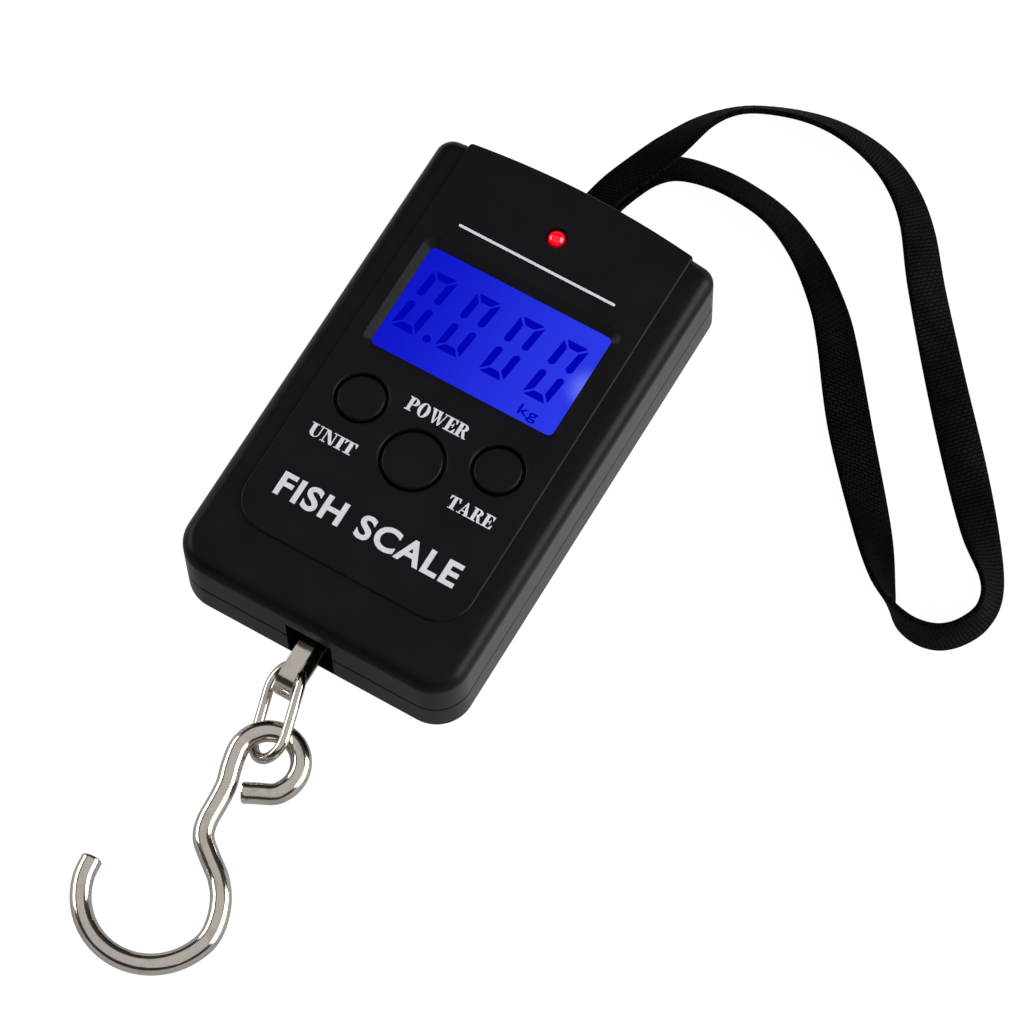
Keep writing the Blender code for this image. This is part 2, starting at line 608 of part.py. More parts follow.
def hanger():
    """A steel strip folded into a U round the chain link, pinned to the lower end of the load cell."""
    y0, fold = HANGER_PIN_Y, HANGER_FOLD_Y
    half = HANGER_T / 2
    outer = arc((fold, LOAD_Z), HANGER_MID_R + half, 90, 270, 14)
    inner = arc((fold, LOAD_Z), HANGER_MID_R - half, 270, 90, 14)
    top, low = LOAD_Z + HANGER_MID_R, LOAD_Z - HANGER_MID_R
    outline = [(y0, top + half)] + outer + [(y0, low - half), (y0, low + half)] + inner + [(y0, top - half)]
    strip = prism("hanger", outline, -HANGER_W / 2, HANGER_W / 2, "nickel")
    strip.matrix_world = Matrix(((0, 0, 1, 0), (1, 0, 0, 0), (0, 1, 0, 0), (0, 0, 0, 1))) @ strip.matrix_world
    for i, z in enumerate((top, low)):
        join(strip, cylinder(f"hanger_lug_{i}", (0.0, y0, z), 3.0, HANGER_T, sides=28))
    cut(strip, cylinder("hanger_pin_hole", (0.0, y0, LOAD_Z), 1.5, 14.0, sides=24))
    profile = ((0.0, 11.5), (1.9, 11.5), (2.3, 11.1), (2.3, 10.6), (1.2, 10.6), (1.2, 1.8), (0.0, 1.8))
    turned("hanger_pin", (0.0, y0, 0.0), profile, "steel", steps=24)


def link_axes():
    """The chain link's long axis, and the direction across it from its left side to its right."""
    along = (LINK_LOW - LINK_TOP).normalized()
    level = Vector((-along.y, along.x, 0.0)).normalized()
    up = along.cross(level)
    return along, level * math.cos(LINK_ROLL) + up * math.sin(LINK_ROLL)


def chain_link():
    along, across = link_axes()
    points = []
    for centre, sign in ((LINK_TOP, 1.0), (LINK_LOW, -1.0)):
        for i in range(13):
            a = math.pi * i / 12
            points.append(centre + sign * LINK_BEND_R * (math.cos(a) * across - math.sin(a) * along))
    wire("chain_link", points, LINK_WIRE_R, "nickel", closed=True)


def hook_route():
    """The hook's middle line from the cut end of its eye to its tip, in millimetres."""
    flat = [(2.75, -71.3), (5.0, -70.15)]
    flat += arc(HOOK_EYE, HOOK_EYE_R, -48, 184, 12)
    flat += [(-1.1, -68.3), (-0.15, -71.5), (0.15, -74.9), (0.35, -78.3), (1.35, -81.0), (4.0, -83.3),
             (7.0, -85.6), (9.2, -88.3), (10.66, -91.74)]
    flat += arc(HOOK_BEND, HOOK_BEND_R, -10, -181, 11)
    return [(x, y, HOOK_LOW_Z + (y - HOOK_LOW_Y) * HOOK_SLOPE) for x, y in flat]


def hook():
    wire("hook", smooth_route(hook_route(), 2.2), HOOK_WIRE_R, "nickel")


def strap_width(distance):
    """The strap's width so far from the case: gathered at its slot, and full further out."""
    share = min(distance / STRAP_GATHER_REACH, 1.0)
    return STRAP_GATHERED_W + (STRAP_W - STRAP_GATHERED_W) * share * share * (3 - 2 * share)


def strap_stations():
    """Points along the closed strap, each with the direction of its width and that width."""
    free = smooth_route(STRAP_ROUTE, STRAP_STEP)
    last = len(free) - 1
    stations = []
    for i, row in enumerate(free):
        ahead = free[min(i + 1, last)].xyz - free[max(i - 1, 0)].xyz
        run = ahead.normalized()
        level = Vector((-run.y, run.x, 0.0)).normalized()
        up = run.cross(level)
        lean = math.radians(row.w)
        across = level * math.cos(lean) + up * math.sin(lean)
        width = strap_width(min(i, last - i) * STRAP_STEP)
        edge_drop = width / 2 * abs(across.z) + STRAP_T / 2 * abs(run.cross(across).z)
        middle = row.xyz
        middle.z = max(middle.z, edge_drop + FLOOR_GAP)
        stations.append((middle, across, width))
    across = Vector((-1.0, 0.0, 0.0))
    low_z, high_z = LOAD_Z - STRAP_WRAP_R, LOAD_Z + STRAP_WRAP_R
    inside = [(y, low_z) for y in (45.6, 42.6)]
    inside += arc((STRAP_PIN_Y, LOAD_Z), STRAP_WRAP_R, 270, 90, 10)
    inside += [(y, high_z) for y in (42.6, 45.6)]
    return stations + [(Vector((0.0, y, z)), across, STRAP_GATHERED_W) for y, z in inside]


def strap():
    """Flat webbing in one closed loop: an open strip, thickened."""
    bm = bmesh.new()
    rows = []
    for centre, across, width in strap_stations():
        rows.append([bm.verts.new((centre + side * width / 2 * across) * MM) for side in (1, -1)])
    for a, b in zip(rows, rows[1:] + rows[:1]):
        bm.faces.new((a[0], a[1], b[1], b[0]))
    band = mesh_object("strap", bm, "webbing")
    solid = band.modifiers.new("Solidify", "SOLIDIFY")
    solid.thickness = STRAP_T * MM
    solid.offset = 0.0


# ---------------------------------------------------------------- power

def batteries():
    """Two cells the opposite way round, each between a plate at its plus end and a coil spring at the other."""
    for name, side, low_y in (("left", -1, CELL_PLUS_Y[0]), ("right", 1, CELL_PLUS_Y[1])):
        x = side * CELL_X
        profile = [(0.0, CELL_LEN), (1.9, CELL_LEN), (1.9, CELL_LEN - 0.9), (CELL_R - 0.5, CELL_LEN - 0.9),
                   (CELL_R, CELL_LEN - 1.4), (CELL_R, 0.5), (CELL_R - 0.5, 0.0), (0.0, 0.0)]
        if side > 0:
            profile = [(r, CELL_LEN - h) for r, h in reversed(profile)]
        turned("battery_" + name, (x, low_y, CELL_Z), profile, "cell_label", axis="Y", steps=28)
        plate_y = low_y + CELL_LEN + 0.35 if side < 0 else low_y - 0.7
        box("battery_contact_" + name, (x - 3.6, x + 3.6), (plate_y, plate_y + 0.35), (3.4, 10.4), "zinc")
        foot_y = low_y - 1.9 if side < 0 else low_y + CELL_LEN + 1.9
        wire("battery_spring_" + name, spring_coil(x, foot_y, -side), 0.25, "nickel")
        battery_door("battery_door_" + name, side)
    route = smooth_route(((-14.2, -42.95, 10.6), (-12.6, -42.95, 11.6), (-8.0, -42.95, 11.9), (8.0, -42.95, 11.9),
                          (12.6, -42.95, 11.6), (14.2, -42.95, 10.6)), 2.0)
    wire("battery_link_wire", route, 0.25, "red_wire")


def spring_coil(x, foot_y, side):
    """A cone-shaped coil: wide at its foot, narrower and closer to the cell with each turn."""
    turns, per_turn, foot_r, tip_r, rise = 2.5, 10, 3.4, 1.8, 1.35
    coil = []
    for i in range(int(turns * per_turn) + 1):
        share = i / (turns * per_turn)
        a = 2 * math.pi * i / per_turn
        r = foot_r + (tip_r - foot_r) * share
        coil.append((x + r * math.cos(a), foot_y + side * rise * share, CELL_Z + r * math.sin(a)))
    return coil


# ---------------------------------------------------------------- assembly

def build():
    front_cover()
    back_cover()
    display()
    circuit_board()
    indicator()
    for name, x, y, cap_r in BUTTONS:
        push_button(name, x, y, cap_r)
    for i, (x, y) in enumerate(CASE_SCREWS):
        screw_piece(f"case_screw_{i + 1}", x, y, 0.6, 2.1, 1.3, 1.1, 11.0)
    for i, (x, y) in enumerate(PCB_SCREWS):
        screw_piece(f"pcb_screw_{i + 1}", x, y, 11.0, 1.8, 1.1, 0.8, 3.2)
    load_cell()
    for i, (x, y) in enumerate(CELL_SCREWS):
        screw_piece(f"cell_screw_{i + 1}", x, y, 10.6, 2.2, 1.3, 1.1, 7.6, points_up=False)
    strap_anchor()
    hanger()
    chain_link()
    hook()
    strap()
    batteries()


build()
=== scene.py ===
"""Digital fish scale: the looks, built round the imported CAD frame.

The object's lengths are in millimetres, and the shape functions turn them into metres. Names that end
in _M, the lights and the sizes inside materials are in metres.
"""

import json
import math

import bmesh
import bpy
from mathutils import Matrix, Vector


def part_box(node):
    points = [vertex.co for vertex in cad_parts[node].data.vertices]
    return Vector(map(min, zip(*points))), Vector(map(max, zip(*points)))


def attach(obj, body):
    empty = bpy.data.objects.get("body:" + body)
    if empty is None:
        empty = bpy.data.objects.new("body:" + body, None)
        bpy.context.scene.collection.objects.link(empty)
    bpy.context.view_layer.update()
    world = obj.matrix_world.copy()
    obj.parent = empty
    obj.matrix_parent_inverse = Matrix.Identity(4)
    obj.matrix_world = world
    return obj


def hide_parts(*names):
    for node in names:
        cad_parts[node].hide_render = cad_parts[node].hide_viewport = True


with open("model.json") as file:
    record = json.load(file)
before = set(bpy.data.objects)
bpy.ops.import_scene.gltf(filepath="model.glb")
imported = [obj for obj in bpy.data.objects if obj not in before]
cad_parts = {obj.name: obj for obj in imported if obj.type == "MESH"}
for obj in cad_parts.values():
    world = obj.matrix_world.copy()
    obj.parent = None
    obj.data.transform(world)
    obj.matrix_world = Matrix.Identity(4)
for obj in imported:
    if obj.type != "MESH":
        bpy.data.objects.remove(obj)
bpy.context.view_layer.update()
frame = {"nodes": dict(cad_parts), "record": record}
MM = 0.001


def cad_box(name):
    """A CAD node's lowest and highest corners, in millimetres."""
    low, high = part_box(name)
    return Vector(low) / MM, Vector(high) / MM


def cad_centre(name):
    low, high = cad_box(name)
    return (low + high) / 2


def grown(low, high, gap):
    """A box's ranges in X and Y, with a gap added all round."""
    return (low.x - gap, high.x + gap), (low.y - gap, high.y + gap)


# ---------------- camera

FOCAL_M = 0.17265
SENSOR_MM = 36.0
CAMERA_AT = Vector((194.9, -283.9, 760.6))
VIEW_RIGHT = Vector((0.86199, 0.50660, -0.01786))
VIEW_DOWN = Vector((0.45817, -0.79370, -0.40015))


def make_camera():
    data = bpy.data.cameras.new("camera")
    data.sensor_width = SENSOR_MM
    data.lens = FOCAL_M / MM
    data.clip_start = 0.01
    data.clip_end = 20.0
    camera = bpy.data.objects.new("camera", data)
    bpy.context.scene.collection.objects.link(camera)
    back = VIEW_RIGHT.cross(-VIEW_DOWN)
    turn = Matrix((VIEW_RIGHT, -VIEW_DOWN, back)).transposed().to_4x4()
    camera.matrix_world = Matrix.Translation(CAMERA_AT * MM) @ turn
    bpy.context.scene.camera = camera


# ---------------- node helpers

def set_inputs(made, **values):
    """Sets a node's inputs by name, with an underscore for each space."""
    for label, value in values.items():
        made.inputs[label.replace("_", " ")].default_value = value


def node(tree, kind, **settings):
    made = tree.nodes.new(kind)
    for name, value in settings.items():
        setattr(made, name, value)
    return made


def coords(tree, kind="Object", scale=(1.0, 1.0, 1.0), turn=(0.0, 0.0, 0.0)):
    """Texture coordinates, stretched and turned."""
    source = node(tree, "ShaderNodeTexCoord")
    mapping = node(tree, "ShaderNodeMapping")
    set_inputs(mapping, Scale=scale, Rotation=turn)
    tree.links.new(source.outputs[kind], mapping.inputs["Vector"])
    return mapping.outputs["Vector"]


def on_axis(tree, vector, axis):
    made = node(tree, "ShaderNodeSeparateXYZ")
    tree.links.new(vector, made.inputs["Vector"])
    return made.outputs[axis]


def distance_from(tree, vector, point):
    made = node(tree, "ShaderNodeVectorMath", operation="DISTANCE")
    tree.links.new(vector, made.inputs[0])
    made.inputs[1].default_value = point
    return made.outputs["Value"]


def noise(tree, vector, scale, detail=3.0, roughness=0.5):
    made = node(tree, "ShaderNodeTexNoise")
    set_inputs(made, Scale=scale, Detail=detail, Roughness=roughness)
    tree.links.new(vector, made.inputs["Vector"])
    return made.outputs["Fac"]


def wave(tree, vector, scale, distortion=0.0, direction="X", profile="SIN"):
    made = node(tree, "ShaderNodeTexWave", bands_direction=direction, wave_profile=profile)
    set_inputs(made, Scale=scale, Distortion=distortion)
    tree.links.new(vector, made.inputs["Vector"])
    return made.outputs["Fac"]


def spread(tree, value, low, high, from_low=0.0, from_high=1.0, curve="LINEAR"):
    """A value moved from one range to another."""
    made = node(tree, "ShaderNodeMapRange", interpolation_type=curve)
    set_inputs(made, From_Min=from_low, From_Max=from_high, To_Min=low, To_Max=high)
    tree.links.new(value, made.inputs["Value"])
    return made.outputs["Result"]


def math_node(tree, operation, a, b):
    made = node(tree, "ShaderNodeMath", operation=operation)
    for socket, value in zip(made.inputs, (a, b)):
        if isinstance(value, (int, float)):
            socket.default_value = value
        else:
            tree.links.new(value, socket)
    return made.outputs["Value"]


def mix(tree, share, first, second):
    """A colour between two others. Each may be a colour or a socket, and the share is a socket."""
    made = node(tree, "ShaderNodeMix", data_type="RGBA")
    tree.links.new(share, made.inputs[0])
    for socket, value in ((made.inputs[6], first), (made.inputs[7], second)):
        if isinstance(value, tuple):
            socket.default_value = (*value, 1.0)
        else:
            tree.links.new(value, socket)
    return made.outputs[2]


def paint(tree, shader, share, first, second, socket="Base Color"):
    """Colours a shader with a mix of two tones."""
    tree.links.new(mix(tree, share, first, second), shader.inputs[socket])


def bump(tree, shader, height, strength, depth):
    """Adds relief of the given depth in metres. A second call lies over the first."""
    made = node(tree, "ShaderNodeBump")
    set_inputs(made, Strength=strength, Distance=depth)
    tree.links.new(height, made.inputs["Height"])
    under = shader.inputs["Normal"].links
    if under:
        tree.links.new(under[0].from_socket, made.inputs["Normal"])
    tree.links.new(made.outputs["Normal"], shader.inputs["Normal"])


def new_material(name, colour, roughness, metallic=0.0, **inputs):
    mat = bpy.data.materials.new(name)
    mat.use_nodes = True
    mat.diffuse_color = (*colour, 1.0)
    shader = mat.node_tree.nodes["Principled BSDF"]
    set_inputs(shader, Base_Color=(*colour, 1.0), Roughness=roughness, Metallic=metallic, **inputs)
    return mat, mat.node_tree, shader


# ---------------- materials

# The display's glow brightens from left to right, and round the lamp near its upper right corner.
GLOW_FROM_X, GLOW_TO_X = -0.0176, 0.019
GLOW_LAMP = (0.0186, 0.0150, 0.0166)
GLOW_LAMP_REACH = 0.0052
LED_CORE, LED_RIM = 0.0011, 0.0018


def moulded_plastic(name, colour, roughness, gloss, grain):
    """Satin moulded plastic: a fine grain, handling marks in its gloss and slightly paler high spots."""
    mat, tree, shader = new_material(name, colour, roughness, Specular_IOR_Level=gloss)
    place = coords(tree)
    fine = noise(tree, place, grain, 2.0, 0.6)
    broad = noise(tree, place, 90.0, 4.0, 0.6)
    pale = tuple(c * 1.25 + 0.0005 for c in colour)
    paint(tree, shader, spread(tree, broad, 0.0, 1.0, 0.35, 0.8), colour, pale)
    varied = math_node(tree, "ADD", spread(tree, broad, -0.06, 0.06), spread(tree, fine, -0.05, 0.05))
    tree.links.new(math_node(tree, "ADD", varied, roughness), shader.inputs["Roughness"])
    bump(tree, shader, fine, 0.25, 0.00002)
    return mat


def nickel_plate():
    """Bright nickel: a warm grey, with faint drawing lines, small pits and duller patches."""
    mat, tree, shader = new_material("nickel", (0.66, 0.62, 0.57), 0.12, 1.0)
    place = coords(tree)
    patches = noise(tree, place, 260.0, 5.0, 0.6)
    specks = noise(tree, place, 2600.0, 2.0, 0.7)
    lines = noise(tree, coords(tree, scale=(1.0, 0.12, 1.0)), 2200.0, 3.0, 0.6)
    paint(tree, shader, spread(tree, patches, 0.0, 1.0, 0.5, 0.75), (0.67, 0.625, 0.57), (0.50, 0.45, 0.40))
    dulled = spread(tree, patches, 0.04, 0.16, 0.3, 0.75)
    rough = math_node(tree, "ADD", dulled, spread(tree, specks, 0.0, 0.08))
    tree.links.new(rough, shader.inputs["Roughness"])
    bump(tree, shader, lines, 0.12, 0.00002)
    bump(tree, shader, patches, 0.10, 0.0002)
    return mat


def stamped_steel(name, colour, roughness):
    """Plated sheet or turned steel with brushing across it."""
    mat, tree, shader = new_material(name, colour, roughness, 1.0)
    brushed = noise(tree, coords(tree, scale=(0.1, 1.0, 1.0)), 3000.0, 3.0, 0.6)
    dull = noise(tree, coords(tree), 400.0, 4.0, 0.6)
    darker = tuple(c * 0.7 for c in colour)
    paint(tree, shader, spread(tree, dull, 0.0, 1.0, 0.4, 0.8), colour, darker)
    rough = math_node(tree, "ADD", spread(tree, brushed, -0.08, 0.1), roughness)
    tree.links.new(rough, shader.inputs["Roughness"])
    bump(tree, shader, brushed, 0.2, 0.00003)
    return mat


def woven_tape():
    """Black polyester tape. Its UV map runs across the tape in U and along it in V, both in millimetres."""
    mat, tree, shader = new_material("webbing", (0.003, 0.003, 0.003), 0.7, Specular_IOR_Level=0.012)
    wander = noise(tree, coords(tree, "UV"), 0.35, 2.0, 0.5)
    place = node(tree, "ShaderNodeVectorMath", operation="ADD")
    tree.links.new(coords(tree, "UV", turn=(0.0, 0.0, 0.3)), place.inputs[0])
    tree.links.new(spread(tree, wander, -0.25, 0.25), place.inputs[1])
    brick = node(tree, "ShaderNodeTexBrick", offset=0.5)
    set_inputs(brick, Scale=1.0, Mortar_Size=0.16, Mortar_Smooth=1.0, Bias=0.0, Brick_Width=1.45,
               Row_Height=0.68)
    tree.links.new(place.outputs["Vector"], brick.inputs["Vector"])
    cells = spread(tree, brick.outputs["Fac"], 1.0, 0.0)
    fuzz = noise(tree, coords(tree), 4200.0, 3.0, 0.7)
    broad = noise(tree, coords(tree), 60.0, 3.0, 0.6)
    height = math_node(tree, "ADD", cells, math_node(tree, "MULTIPLY", fuzz, 0.7))
    threads = spread(tree, height, 0.0, 1.0, 0.6, 1.5)
    tone = math_node(tree, "MULTIPLY", threads, spread(tree, broad, 0.2, 1.0, 0.35, 0.7))
    paint(tree, shader, tone, (0.0003, 0.0003, 0.0003), (0.0085, 0.0085, 0.0085))
    tree.links.new(spread(tree, fuzz, 0.55, 0.85), shader.inputs["Roughness"])
    bump(tree, shader, height, 0.8, 0.00015)
    return mat


def display_glow():
    """The lit display: deep blue, paler towards the lamp behind its right-hand edge."""
    mat, tree, shader = new_material("lcd_blue", (0.0, 0.0, 0.01), 0.3, Specular_IOR_Level=0.02)
    place = coords(tree)
    wide = spread(tree, on_axis(tree, place, "X"), 0.0, 1.0, GLOW_FROM_X, GLOW_TO_X, "SMOOTHSTEP")
    away = distance_from(tree, place, GLOW_LAMP)
    near = spread(tree, away, 1.0, 0.0, 0.0, GLOW_LAMP_REACH, "SMOOTHERSTEP")
    mottle = noise(tree, place, 1500.0, 3.0, 0.6)
    base = mix(tree, wide, (0.0052, 0.0090, 0.61), (0.026, 0.043, 0.82))
    lit = mix(tree, near, base, (0.14, 0.19, 1.0))
    paint(tree, shader, spread(tree, mottle, 0.0, 0.12), lit, (0.0, 0.0, 0.4), "Emission Color")
    seen = node(tree, "ShaderNodeLightPath").outputs["Is Camera Ray"]
    tree.links.new(spread(tree, seen, 0.15, 1.0), shader.inputs["Emission Strength"])
    tree.links.new(spread(tree, mottle, 0.2, 0.32), shader.inputs["Roughness"])
    return mat


def display_segment():
    mat, tree, shader = new_material("lcd_segment", (0.0, 0.0, 0.01), 0.35, Specular_IOR_Level=0.02,
                                     Emission_Strength=1.0)
    shade = noise(tree, coords(tree), 900.0, 2.0, 0.5)
    paint(tree, shader, shade, (0.0, 0.0, 0.40), (0.0, 0.001, 0.48), "Emission Color")
    return mat


def lamp_lens():
    """A lit red lamp: bright across its dome, darker towards its rim."""
    mat, tree, shader = new_material("led_red", (0.45, 0.0, 0.008), 0.12, Coat_Weight=0.25,
                                     Coat_Roughness=0.12, Emission_Strength=0.8)
    away = distance_from(tree, coords(tree), (0.0001, (LED_Y - 0.15) * MM, (FACE_Z + 0.5) * MM))
    core = spread(tree, away, 1.0, 0.0, LED_CORE, LED_RIM)
    grain = noise(tree, coords(tree), 900.0, 3.0, 0.6)
    bright = math_node(tree, "MULTIPLY", core, spread(tree, grain, 0.8, 1.1))
    paint(tree, shader, bright, (0.14, 0.0, 0.002), (0.85, 0.0, 0.014), "Emission Color")
    return mat


def printed_ink():
    """White pad-printed ink with slightly uneven cover."""
    mat, tree, shader = new_material("white_ink", (0.70, 0.73, 0.79), 0.55)
    patch = noise(tree, coords(tree), 2400.0, 4.0, 0.7)
    paint(tree, shader, spread(tree, patch, 0.0, 1.0, 0.45, 0.75), (0.68, 0.70, 0.76), (0.54, 0.56, 0.62))
    bump(tree, shader, patch, 0.3, 0.00001)
    return mat


def speckled(name, colour, other, roughness, scale):
    """A general finish: two tones in a noise pattern, with matching relief."""
    mat, tree, shader = new_material(name, colour, roughness)
    tone = noise(tree, coords(tree), scale, 4.0, 0.6)
    paint(tree, shader, spread(tree, tone, 0.0, 1.0, 0.35, 0.7), colour, other)
    tree.links.new(spread(tree, tone, roughness - 0.1, roughness + 0.1), shader.inputs["Roughness"])
    bump(tree, shader, tone, 0.2, 0.00003)
    return mat


def circuit_mask():
    """Green solder mask with the tracks showing as paler lines."""
    mat, tree, shader = new_material("circuit_board", (0.01, 0.10, 0.03), 0.35, Coat_Weight=0.4)
    tracks = wave(tree, coords(tree), 160.0, 3.0, "DIAGONAL", "TRI")
    lines = spread(tree, tracks, 0.0, 1.0, 0.55, 0.62)
    paint(tree, shader, lines, (0.008, 0.09, 0.03), (0.02, 0.20, 0.07))
    bump(tree, shader, lines, 0.4, 0.00004)
    return mat


def battery_sleeve():
    """A printed sleeve: dark, with paler bands along it."""
    mat, tree, shader = new_material("cell_label", (0.05, 0.06, 0.08), 0.3, 0.3)
    rings = wave(tree, coords(tree), 22.0, 0.0, "Y")
    dust = noise(tree, coords(tree), 1200.0, 3.0, 0.6)
    paint(tree, shader, spread(tree, rings, 0.0, 1.0, 0.82, 0.86), (0.04, 0.05, 0.07), (0.45, 0.40, 0.30))
    tree.links.new(spread(tree, dust, 0.22, 0.4), shader.inputs["Roughness"])
    return mat


# ---------------- mesh helpers

def add_piece(name, mesh, body, mat, replaced=(), smooth=35.0):
    """A finished piece on its CAD body, in its own material. With smooth=None it keeps the shading it has."""
    obj = bpy.data.objects.new(name, mesh)
    bpy.context.scene.collection.objects.link(obj)
    mesh.materials.clear()
    mesh.materials.append(mat)
    if smooth is not None:
        mesh.shade_smooth()
        mesh.set_sharp_from_angle(angle=math.radians(smooth))
    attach(obj, body)
    if replaced:
        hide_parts(*replaced)
    return obj


def loose_object(name, bm):
    mesh = bpy.data.meshes.new(name)
    bmesh.ops.recalc_face_normals(bm, faces=bm.faces)
    bm.to_mesh(mesh)
    bm.free()
    obj = bpy.data.objects.new(name, mesh)
    bpy.context.scene.collection.objects.link(obj)
    return obj


def worked_out(obj):
    """A new mesh with the object's modifiers worked out."""
    bpy.context.view_layer.update()
    graph = bpy.context.evaluated_depsgraph_get()
    return bpy.data.meshes.new_from_object(obj.evaluated_get(graph))


def baked(obj):
    """The object's mesh with its modifiers worked out. The object itself is removed."""
    mesh = worked_out(obj)
    mesh.transform(obj.matrix_world)
    bpy.data.objects.remove(obj, do_unlink=True)
    return mesh


def combine(target, operation, *tools):
    """Cuts tools from the target, or joins them to it, and removes them."""
    for tool in tools:
        boolean = target.modifiers.new("combine", "BOOLEAN")
        boolean.operation = operation
        boolean.solver = "EXACT"
        boolean.object = tool
    fresh = worked_out(target)
    target.modifiers.clear()
    target.data = fresh
    for tool in tools:
        bpy.data.objects.remove(tool, do_unlink=True)


def soften(obj, width, angle=30.0, segments=2):
    """Rounds an object's sharp edges, with large faces shaded flat."""
    obj.data.shade_smooth()
    bevel = obj.modifiers.new("soften", "BEVEL")
    bevel.width = width * MM
    bevel.segments = segments
    bevel.limit_method = "ANGLE"
    bevel.angle_limit = math.radians(angle)
    weighted = obj.modifiers.new("weighted", "WEIGHTED_NORMAL")
    weighted.weight = 100
    weighted.keep_sharp = False


def loft(name, rings):
    """A closed solid through rings of points in millimetres, with flat ends."""
    bm = bmesh.new()
    rows = [[bm.verts.new(Vector(p) * MM) for p in ring] for ring in rings]
    count = len(rows[0])
    for a, b in zip(rows, rows[1:]):
        for i in range(count):
            j = (i + 1) % count
            bm.faces.new((a[i], a[j], b[j], b[i]))
    bm.faces.new(rows[0][::-1])
    bm.faces.new(rows[-1])
    return loose_object(name, bm)


def slab(name, outline, levels):
    """A flat solid: outline(inset) gives its plan, and levels lists (height, inset) from the bottom up."""
    return loft(name, [[(x, y, z) for x, y in outline(inset)] for z, inset in levels])


def bar(x0, x1, y0, y1):
    return [(x0, y0), (x1, y0), (x1, y1), (x0, y1)]


def box(name, x, y, z):
    return loft(name, [[(a, b, h) for a, b in bar(*x, *y)] for h in z])


def column(name, radius, foot, top, place, steps=72):
    """An upright cylinder."""
    return turned(name, [(0.0, foot), (radius, foot), (radius, top), (0.0, top)], (*place, 0.0), steps=steps)


def turned(name, profile, centre=(0.0, 0.0, 0.0), axis="Z", steps=72):
    """A solid of revolution. The profile lists (radius, height) upwards, with both ends on the axis."""
    bm = bmesh.new()
    rows = []
    for r, h in profile[1:-1]:
        row = []
        for i in range(steps):
            a = 2 * math.pi * i / steps
            row.append(bm.verts.new((r * math.cos(a) * MM, r * math.sin(a) * MM, h * MM)))
        rows.append(row)
    ends = [bm.verts.new((0.0, 0.0, profile[i][1] * MM)) for i in (0, -1)]
    for i in range(steps):
        j = (i + 1) % steps
        for a, b in zip(rows, rows[1:]):
            bm.faces.new((a[i], a[j], b[j], b[i]))
        bm.faces.new((ends[0], rows[0][j], rows[0][i]))
        bm.faces.new((ends[1], rows[-1][i], rows[-1][j]))
    if axis == "Y":
        bmesh.ops.rotate(bm, verts=bm.verts, matrix=Matrix.Rotation(-math.pi / 2, 3, "X"))
    bmesh.ops.translate(bm, verts=bm.verts, vec=Vector(centre) * MM)
    return loose_object(name, bm)


def oval(centre, rx, ry, start, end, steps=12):
    """Points of an oval arc, with its angles in degrees."""
    angles = [math.radians(start + (end - start) * i / steps) for i in range(steps + 1)]
    return [(centre[0] + rx * math.cos(a), centre[1] + ry * math.sin(a)) for a in angles]


def arc(centre, radius, start, end, steps):
    return oval(centre, radius, radius, start, end, steps)


def quarter(steps):
    """The angles of a quarter turn, in radians."""
    return [math.pi / 2 * i / steps for i in range(steps + 1)]


def rounded_rectangle(x, y, r, steps=8):
    points = arc((x[0] + r, y[0] + r), r, 180, 270, steps)
    points += arc((x[1] - r, y[0] + r), r, 270, 360, steps)
    points += arc((x[1] - r, y[1] - r), r, 0, 90, steps)
    points += arc((x[0] + r, y[1] - r), r, 90, 180, steps)
    return points


def smooth_route(points, step):
    """Evenly spaced points on a smooth curve through the given points, whatever numbers each one holds."""
    rows = [Vector(p) for p in points]
    rows = [2 * rows[0] - rows[1]] + rows + [2 * rows[-1] - rows[-2]]
    fine = []
    for p0, p1, p2, p3 in zip(rows, rows[1:], rows[2:], rows[3:]):
        for i in range(12):
            t = i / 12
            fine.append(0.5 * (2 * p1 + (p2 - p0) * t + (2 * p0 - 5 * p1 + 4 * p2 - p3) * t * t
                               + (3 * p1 - p0 - 3 * p2 + p3) * t ** 3))
    fine.append(rows[-2])
    lengths = [0.0]
    for a, b in zip(fine, fine[1:]):
        lengths.append(lengths[-1] + (b - a).xyz.length)
    count = max(2, round(lengths[-1] / step))
    even, k = [], 0
    for i in range(count + 1):
        goal = lengths[-1] * i / count
        while k < len(fine) - 2 and lengths[k + 1] < goal:
            k += 1
        share = (goal - lengths[k]) / max(lengths[k + 1] - lengths[k], 1e-9)
        even.append(fine[k].lerp(fine[k + 1], share))
    return even


# ---------------- case dimensions, from the frame

FRONT_LOW, FRONT_HIGH = cad_box("front_cover")
HALF_W = (FRONT_HIGH.x - FRONT_LOW.x) / 2
LOW_Y = FRONT_LOW.y
ARCH_RISE = 1.4
TOP_Y = FRONT_HIGH.y - ARCH_RISE
BOTTOM_CORNER_R = 6.5
TOP_CORNER_R = 3.2
FACE_Z = FRONT_HIGH.z
MARGIN_Z = FACE_Z - 0.4
SHELL_GAP = 0.3
SEAM_LOW = FRONT_LOW.z - SHELL_GAP
SEAM_HIGH = FRONT_LOW.z
SEAM_CHAMFER = 0.15
FRONT_R = 3.0
BACK_R = 1.2
FLOOR_Z = 1.4
ROOF_Z = 16.0
FRONT_WALL = 1.5
BACK_WALL = 2.5
TONGUE_INSET = 1.8
TONGUE_TOP_Z = 8.8
PAST_TONGUE_Z = TONGUE_TOP_Z + 1.0
PANEL_HALF_W = 21.9
PANEL_LOW_Y = -34.6
PANEL_R = 6.5
PANEL_TIP_R = 0.7
PANEL_EDGE_R = 0.45
GLASS_LOW, GLASS_HIGH = cad_box("lcd_glass")
WINDOW_X = 17.6
WINDOW_Y = (4.3, 25.1)
WINDOW_BEVEL = 1.5
WINDOW_CORNER_R = 1.0
BUTTONS = {name: cad_box(name + "_button") for name in ("unit", "power", "tare")}
FLANGE = 0.9
